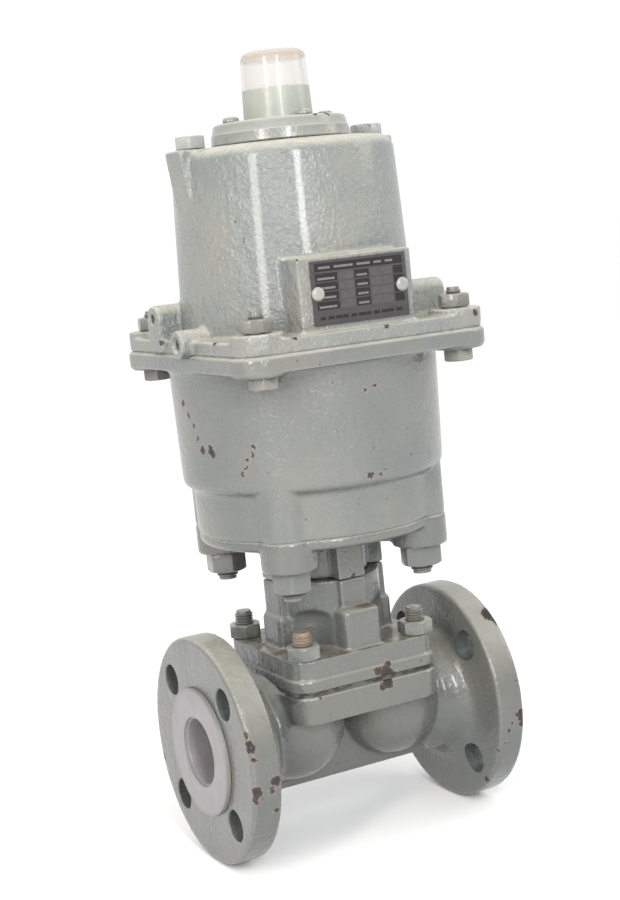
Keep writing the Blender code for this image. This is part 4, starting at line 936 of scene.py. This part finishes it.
# ---------------------------------------------------------------------------------------------
# Piston and springs: a skirted iron piston, sealed by a rubber packing and guided by an acetal
# ring, nutted to the stem. Two coil springs between it and the cover's roof close the valve.
dress(grey_iron, "piston")
dress(black_rubber, "piston_packing")
dress(moulded("acetal", (0.66, 0.62, 0.52), 0.3, 0.00004, (0.50, 0.46, 0.38)), "piston_wear_ring")
dress(steel_bar, "piston_nut", "indicator_rod")
SPRING_FOOT, SPRING_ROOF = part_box("outer_spring")[0].z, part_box("outer_spring")[1].z
spring_black = metal("spring_black", (0.045, 0.045, 0.050), 0.45, 0.3, 0.6)
STEPS_A_TURN = 36
for name, radius, wire, turns in (("outer_coil", 0.0510, 0.0042, 6), ("inner_coil", 0.0310, 0.0030, 8)):
    low, high, closed = SPRING_FOOT + wire, SPRING_ROOF - wire, 2.1 * wire
    coil = []
    for index in range(turns * STEPS_A_TURN + 1):
        turn_number = index / STEPS_A_TURN
        climb = min(max((turn_number - 1) / (turns - 2), 0), 1) * (high - low - 2 * closed)
        ends = min(turn_number, 1) + max(turn_number - (turns - 1), 0)
        angle = 2.0 * math.pi * turn_number
        coil.append((radius * math.cos(angle), radius * math.sin(angle), low + climb + closed * ends))
    spring = bent_bar(name, wire, coil, 4)
    shade(spring, 60)
    hand_over(spring, "housing", "cast_iron", spring_black, name.replace("coil", "spring"))
    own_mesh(spring)


# ---------------------------------------------------------------------------------------------
# Spring cover: the upper casing, a cast bell with a rounded shoulder. On it are a flange with bolt
# pads, a flat pad for the rating plate, two eye lugs, the air port and two bolted lugs at the top.
COVER_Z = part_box("spring_cover")[0].z
COVER_TOP = 0.429
LUG_X, PAD_Y, SHOULDER = 0.060, 0.0785, 0.0090
EYE_R, EYE_X, EYE_Y, EYE_Z = 0.0084, 0.0838, 0.0295, 0.3315
PORT_Y, PORT_Z = -0.0125, 0.3175
bell = [(0, COVER_Z), (0.0716, COVER_Z), (0.0716, 0.3190)]
for angle in quarter_arc(8):
    across, down = 1.0 - math.cos(angle), 1.0 - math.sin(angle)
    bell.append((0.0675 - SHOULDER * across, COVER_TOP - SHOULDER * down))
bell.append((0, COVER_TOP))
pad = [(0, 0.3140), (0.0152, 0.3140), (0.0152, 0.3222), (0.0147, 0.3227), (0, 0.3227)]
lumps = []
for side in (-1, 1):
    low_x, high_x = sorted((side * 0.052, side * 0.0728))
    lug = slab("lug", (low_x, -0.0107, 0.392), (high_x, 0.0107, 0.4292))
    for vertex in lug.data.vertices:
        if vertex.co.z < 0.40 and abs(vertex.co.x) > 0.06:
            vertex.co.x = side * 0.0685
    lumps.append(round_edges(lug, 0.0012))
    eye_y = -side * EYE_Y
    low_x, high_x = sorted((side * 0.060, side * EYE_X))
    lumps.append(slab("eye_foot", (low_x, eye_y - EYE_R, 0.312), (high_x, eye_y + EYE_R, EYE_Z)))
    eye = [(0, 0.060), (EYE_R, 0.060), (EYE_R, EYE_X - 0.0006), (EYE_R - 0.0006, EYE_X), (0, EYE_X)]
    lumps.append(turned("eye", eye, 48, (0, eye_y, EYE_Z), (0, side * QUARTER_TURN, 0)))
port = [(0, 0.060), (0.0085, 0.060), (0.0085, 0.0879), (0.0079, 0.0885), (0, 0.0885)]
cover = cast("cover_casting", [
    turned("bell", bell, 144),
    slab("flange", (-0.0813, -0.0883, COVER_Z), (0.0813, 0.0883, 0.319), 0.0157),
    *[turned("pad", pad, 48, place) for place in corners(*BOLT_AT)],
    slab("plate_pad", (-0.039, -PAD_Y, 0.3130), (0.036, -0.050, 0.3614)),
    turned("port", port, 48, (0, PORT_Y, PORT_Z), (0, -QUARTER_TURN, 0)),
    *lumps,
], 0.0011, 6)
inside = [(0, 0.300), (0.0655, 0.300), (0.0655, 0.3103), (0.0605, 0.4170), (0.0593, 0.4198)]
inside += [(0.0565, 0.4210), (0, 0.4210)]
rod_hole = [(0, 0.41), (0.0034, 0.41), (0.0034, 0.44), (0, 0.44)]
tools = [turned("inside", inside, 96), turned("rod_hole", rod_hole, 24)]
ridges = thread(0.0045, 0.0735, 0.0870, 0.0012)
port_hole = [(0, 0.0735)] + [(radius - 0.0004, z) for radius, z in ridges]
port_hole += [(0.0041, 0.0872), (0.0052, 0.0887), (0.0052, 0.0900), (0, 0.0900)]
tools.append(turned("port_hole", port_hole, 36, (0, PORT_Y, PORT_Z), (0, -QUARTER_TURN, 0)))
eye_hole = [(0, 0.0735), (0.00325, 0.0745), (0.00325, 0.0832), (0.0040, 0.0840)]
eye_hole += [(0.0040, 0.090), (0, 0.090)]
for side in (-1, 1):
    place, turns = (0, -side * EYE_Y, EYE_Z), (0, side * QUARTER_TURN, 0)
    tools.append(turned("eye_hole", eye_hole, 32, place, turns))
carve(cover, tools)
shade(cover)
cover_chips = [
    (-0.0830, 0.0200, 0.3180, 0.0026), (0.0100, -0.0885, 0.3180, 0.0026),
    (-0.0500, -0.0880, 0.3195, 0.0023), (-0.0810, -0.0500, 0.3190, 0.0024),
    (0.0700, -0.0880, 0.3190, 0.0030), (-0.0380, -0.0785, 0.3610, 0.0022),
    (0.0810, 0.0600, 0.3150, 0.0035), (0.0600, 0.0885, 0.3180, 0.0032),
]
# depth 1.08 makes a lighter copy of the enamel, with more cream on the tops: painted light on the upper
# casing.
cover_enamel = enamel("cover_enamel", cover_chips, 1.35, relief=0.0024, depth=1.08)
hand_over(cover, "housing", "enamel", cover_enamel, "spring_cover")


# ---------------------------------------------------------------------------------------------
# Casing bolts: M10, heads below and nuts on top at the four corners of the joint. Two more
# hexagon bolts stand in the lugs at the top of the cover.
bolt_corners = corners(*BOLT_AT)
BOLT, BOLT_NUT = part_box("flange_bolt_1"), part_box("flange_nut_1")
LUG_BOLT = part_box("cover_bolt_1")
head = hexagon("head", 0.0165, BOLT[0].z, BOLT[0].z + 0.0070, 0.0, True, False)
shank = stud("shank", 0.0048, BOLT[0].z + 0.004, BOLT[1].z, 0.0015, 0.3240)
casing_bolt = shade(as_one("casing_bolt", [head, shank]), 28)
turns, tips = (0.35, 0.1, 0.22, 0.0), [bare_tip("bolt_tip", 0.3318, (0.28, 0.22, 0.16), 0.2)]
set_out(casing_bolt, "casing_bolt", bolt_corners, turns, "steel", tips, "flange_bolt")
casing_nut = hexagon("casing_nut", 0.0165, BOLT_NUT[0].z, BOLT_NUT[1].z, 0.0049)
turns = (0.1, 0.3, 0.45, 0.2)
set_out(casing_nut, "casing_nut", bolt_corners, turns, "steel", [nut_enamel], "flange_nut")
head = hexagon("head", 0.017, LUG_BOLT[1].z - 0.0073, LUG_BOLT[1].z, 0.0, False, True)
low_z, high_z = LUG_BOLT[0].z, LUG_BOLT[1].z - 0.005
shank = turned("shank", [(0, low_z), (0.0047, low_z), (0.0047, high_z), (0, high_z)], 24)
lug_bolt = shade(as_one("lug_bolt", [head, shank]), 30)
lug_tops = [(-LUG_X, 0, 0), (LUG_X, 0, 0)]
# depth 1.7 makes a much lighter copy of the enamel: painted light on the lug bolt heads.
lug_enamel = enamel("lug_bolt_enamel", relief=0.0006, depth=1.7, edges=0.3)
set_out(lug_bolt, "lug_bolt", lug_tops, (0.1, 0.35), "steel", [lug_enamel], "cover_bolt")


# ---------------------------------------------------------------------------------------------
# Top cap: a turned disc that holds the dome, with four pan-head screws with slots, all sprayed.
CAP_Z, CAP_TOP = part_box("top_cap")[0].z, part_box("top_cap")[1].z
cap = [(0.0034, CAP_Z), (0.0414, CAP_Z), (0.0420, CAP_Z + 0.0006), (0.0416, CAP_Z + 0.0062)]
cap += [(0.0410, CAP_Z + 0.0070), (0.0403, CAP_TOP - 0.0022), (0.0396, CAP_TOP - 0.0007)]
cap += [(0.0384, CAP_TOP), (0.0178, CAP_TOP)]
cap += [(0.0172, CAP_TOP - 0.0005), (0.0172, 0.437), (0.0034, 0.437), (0.0034, CAP_Z)]
cap = shade(turned("cap_disc", cap, 144), 30)
cap_chips = [
    (0.0071, -0.0290, 0.4430, 0.0034), (0.0040, -0.0385, 0.4432, 0.0028),
    (0.0120, -0.0370, 0.4425, 0.0024),
]
# depth 1.2 makes a lighter copy of the enamel, with more cream on the top: painted light on the cap.
cap_enamel = enamel("cap_enamel", cap_chips, 1.8, relief=0.0008, depth=1.2)
hand_over(cap, "housing", "enamel", cap_enamel, "top_cap")
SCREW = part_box("cap_screw_1")
screw_low = CAP_TOP + 0.0003
screw = [(0, SCREW[0].z), (0.0023, SCREW[0].z), (0.0023, screw_low), (0.0046, screw_low)]
screw += [(0.0050, screw_low + 0.0005), (0.0050, screw_low + 0.0015), (0.0044, screw_low + 0.0026)]
screw += [(0.0028, screw_low + 0.0033), (0, SCREW[1].z)]
screw = turned("screw", screw, 40)
slot_cut = slab("slot_cut", (-0.0006, -0.006, SCREW[1].z - 0.0012), (0.0006, 0.006, SCREW[1].z + 0.002))
carve(screw, [slot_cut])
screw_places = [(0.032, 0, 0), (0, 0.032, 0), (-0.032, 0, 0), (0, -0.032, 0)]
# depth 1.1 makes a lighter copy of the enamel: painted light on the screw heads.
screw_enamel = enamel("screw_enamel", dust_and_top_light=1.2, relief=0.0004, depth=1.1, edges=0.5)
turns = (0.4, 1.2, 0.9, 2.1)
set_out(shade(screw, 30), "pan_screw", screw_places, turns, "steel", [screw_enamel], "cap_screw")


# ---------------------------------------------------------------------------------------------
# Dome: a clear plastic cup over the indicator, yellowed, its lower half painted over by brush.
# The red knob on the indicator rod shows in the clear half when the valve is open.
DOME_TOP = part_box("indicator_dome")[1].z
DOME_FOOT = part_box("indicator_dome")[0].z
DOME_ROUND, DOME_WALL = 0.0055, 0.0020
outer = [(0.0169, DOME_FOOT), (0.0169, CAP_TOP + 0.0003), (0.0210, CAP_TOP + 0.0003)]
inner = [(0.0149, DOME_FOOT), (0.0149, CAP_TOP + 0.0003), (0.0190, CAP_TOP + 0.0023)]
for angle in quarter_arc(8):
    for wall, rounding in ((outer, DOME_ROUND), (inner, DOME_ROUND - DOME_WALL)):
        across, up = rounding * math.cos(angle), rounding * math.sin(angle)
        wall.append((0.0197 - DOME_ROUND + across, DOME_TOP - DOME_ROUND + up))
outline = [(0, DOME_TOP)] + outer[::-1] + inner + [(0, DOME_TOP - DOME_WALL)]
dome = shade(turned("dome_cup", outline, 96), 30)
clear_dome = Finish("clear_dome")
height = clear_dome.node("SeparateXYZ", None, {0: clear_dome.place}, out=2)
brushed = height + 0.0018 * (clear_dome.noise(150.0, 3.0) - 0.5)
clear_part = brushed.ramp(0.4612, 0.4622)
ring = height.ramp(0.4775, 0.4795) * height.ramp(0.4836, 0.4828)
plastic = clear_dome.mix(ring * 0.75, (0.640, 0.622, 0.585), (0.400, 0.315, 0.235))
painted = clear_dome.mix(clear_dome.noise(80.0, 3.0), (0.255, 0.270, 0.235), (0.350, 0.360, 0.310))
clear_dome.set(base_color=clear_dome.mix(clear_part, painted, plastic), roughness=0.36 - 0.26 * clear_part)
clear_dome.set(alpha=1.0 - clear_part * (0.66 - 0.36 * ring), coat_weight=0.1)
clear_dome.bump(clear_dome.noise(260.0, 2.0), 0.0002)
hand_over(dome, "housing", "clear_plastic", clear_dome.material, "indicator_dome")
red_knob = Finish("red_knob")
red = red_knob.mix(red_knob.noise(120.0), (0.52, 0.035, 0.02), (0.34, 0.02, 0.015))
red_knob.set(base_color=red, roughness=0.35 + 0.1 * red_knob.noise(60.0))
dress(red_knob.material, "indicator_knob")


# ---------------------------------------------------------------------------------------------
# Rating plate: thin aluminium with dark printed fields and lighter boxes, all left blank, held on
# its pad by two round-head drive rivets that were sprayed with the casing.
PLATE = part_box("name_plate")
front = PLATE[0].y
plate = slab("plate_blank", tuple(PLATE[0]), tuple(PLATE[1]), 0.0, 0.00015)


def field(left, right, top, bottom, proud=0.00008):
    """A printed field, placed by fractions of the plate's width and height from its top left."""
    width, height = PLATE[1].x - PLATE[0].x, PLATE[1].z - PLATE[0].z
    low = (PLATE[0].x + left * width, front - proud, PLATE[1].z - bottom * height)
    high = (PLATE[0].x + right * width, front + 0.0001, PLATE[1].z - top * height)
    return slab("field", low, high)


plate_grey = Finish("plate_grey")
brushed = plate_grey.vector("MULTIPLY", plate_grey.place, (0.06, 1.0, 1.0))
streak = plate_grey.noise(1400.0, 3.0, 0.6, brushed)
tone = plate_grey.mix(streak, (0.035, 0.032, 0.034), (0.080, 0.073, 0.077))
plate_grey.set(base_color=tone, metallic=0.2)
plate_grey.set(roughness=0.32 + 0.2 * plate_grey.noise(60.0, 4.0), specular_ior_level=0.3)
hand_over(plate, "housing", "aluminium", plate_grey.material, "name_plate")
dark_boxes = [(0.04, 0.96, 0.04, 0.17)]
light_boxes = []
for row in range(4):
    top = 0.20 + 0.145 * row
    bottom = top + 0.125
    dark_boxes += [(0.04, 0.27, top, bottom), (0.45, 0.60, top, bottom), (0.86, 0.96, top, bottom)]
    light_boxes += [(0.285, 0.435, top, bottom), (0.615, 0.845, top, bottom)]
for mark in range(11):
    left = 0.06 + 0.08 * mark
    dark_boxes.append((left, left + 0.05 + 0.012 * (mark % 3), 0.865, 0.915))
dashes = []
for top in (0.075, 0.245, 0.39, 0.535, 0.68):
    marks = [(0.06, 0.24), (0.47, 0.58)]
    if top < 0.2:
        marks = [(0.08, 0.20), (0.24, 0.44), (0.48, 0.62), (0.66, 0.74), (0.78, 0.86)]
    dashes += [(left, right, top + 0.02, top + 0.055, 0.00014) for left, right in marks]


def ink(name, first, second, grain, roughness):
    """Print on the plate, a little uneven."""
    finish = Finish(name)
    finish.set(base_color=finish.mix(finish.noise(grain, 4.0), first, second))
    finish.set(roughness=roughness + 0.2 * finish.noise(90.0))
    return finish


plate_black = ink("plate_black", (0.010, 0.009, 0.009), (0.022, 0.020, 0.020), 300.0, 0.35)
plate_black.set(specular_ior_level=0.25)
plate_light = ink("plate_light", (0.095, 0.088, 0.091), (0.055, 0.051, 0.053), 240.0, 0.3)
plate_light.set(metallic=0.2, specular_ior_level=0.3)
plate_pale = ink("plate_pale", (0.180, 0.172, 0.172), (0.060, 0.056, 0.056), 700.0, 0.4)
prints = (
    ("dark_print", dark_boxes, plate_black),
    ("light_print", light_boxes, plate_light),
    ("pale_print", dashes, plate_pale),
)
for name, boxes, print_finish in prints:
    print_piece = as_one(name, [field(*box) for box in boxes])
    print_piece.data.materials.clear()
    print_piece.data.materials.append(print_finish.material)
    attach(print_piece, "housing")
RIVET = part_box("plate_rivet_1")
rivet = [(0, -RIVET[1].y), (0.0015, -RIVET[1].y), (0.0015, -front + 0.0001)]
head_rise = front - RIVET[0].y - 0.0004
for angle in quarter_arc(6):
    rivet.append((0.0041 * math.cos(angle), -front + 0.0003 + head_rise * math.sin(angle)))
rivet[-1] = (0, rivet[-1][1])
rivet = turned("rivet", rivet, 32, turns=(QUARTER_TURN, 0, 0))
rivet_places = [(-0.0278, 0, 0.3405), (0.0278, 0, 0.3405)]
# depth 1.45 makes a lighter copy of the enamel: painted light on the rivet heads.
rivet_lit_enamel = enamel("rivet_lit_enamel", dust_and_top_light=0.6, relief=0.0003, depth=1.45, edges=0.3)
set_out(shade(rivet, 40), "drive_rivet", rivet_places, (0.0, 0.0), "steel", [rivet_lit_enamel], "plate_rivet")
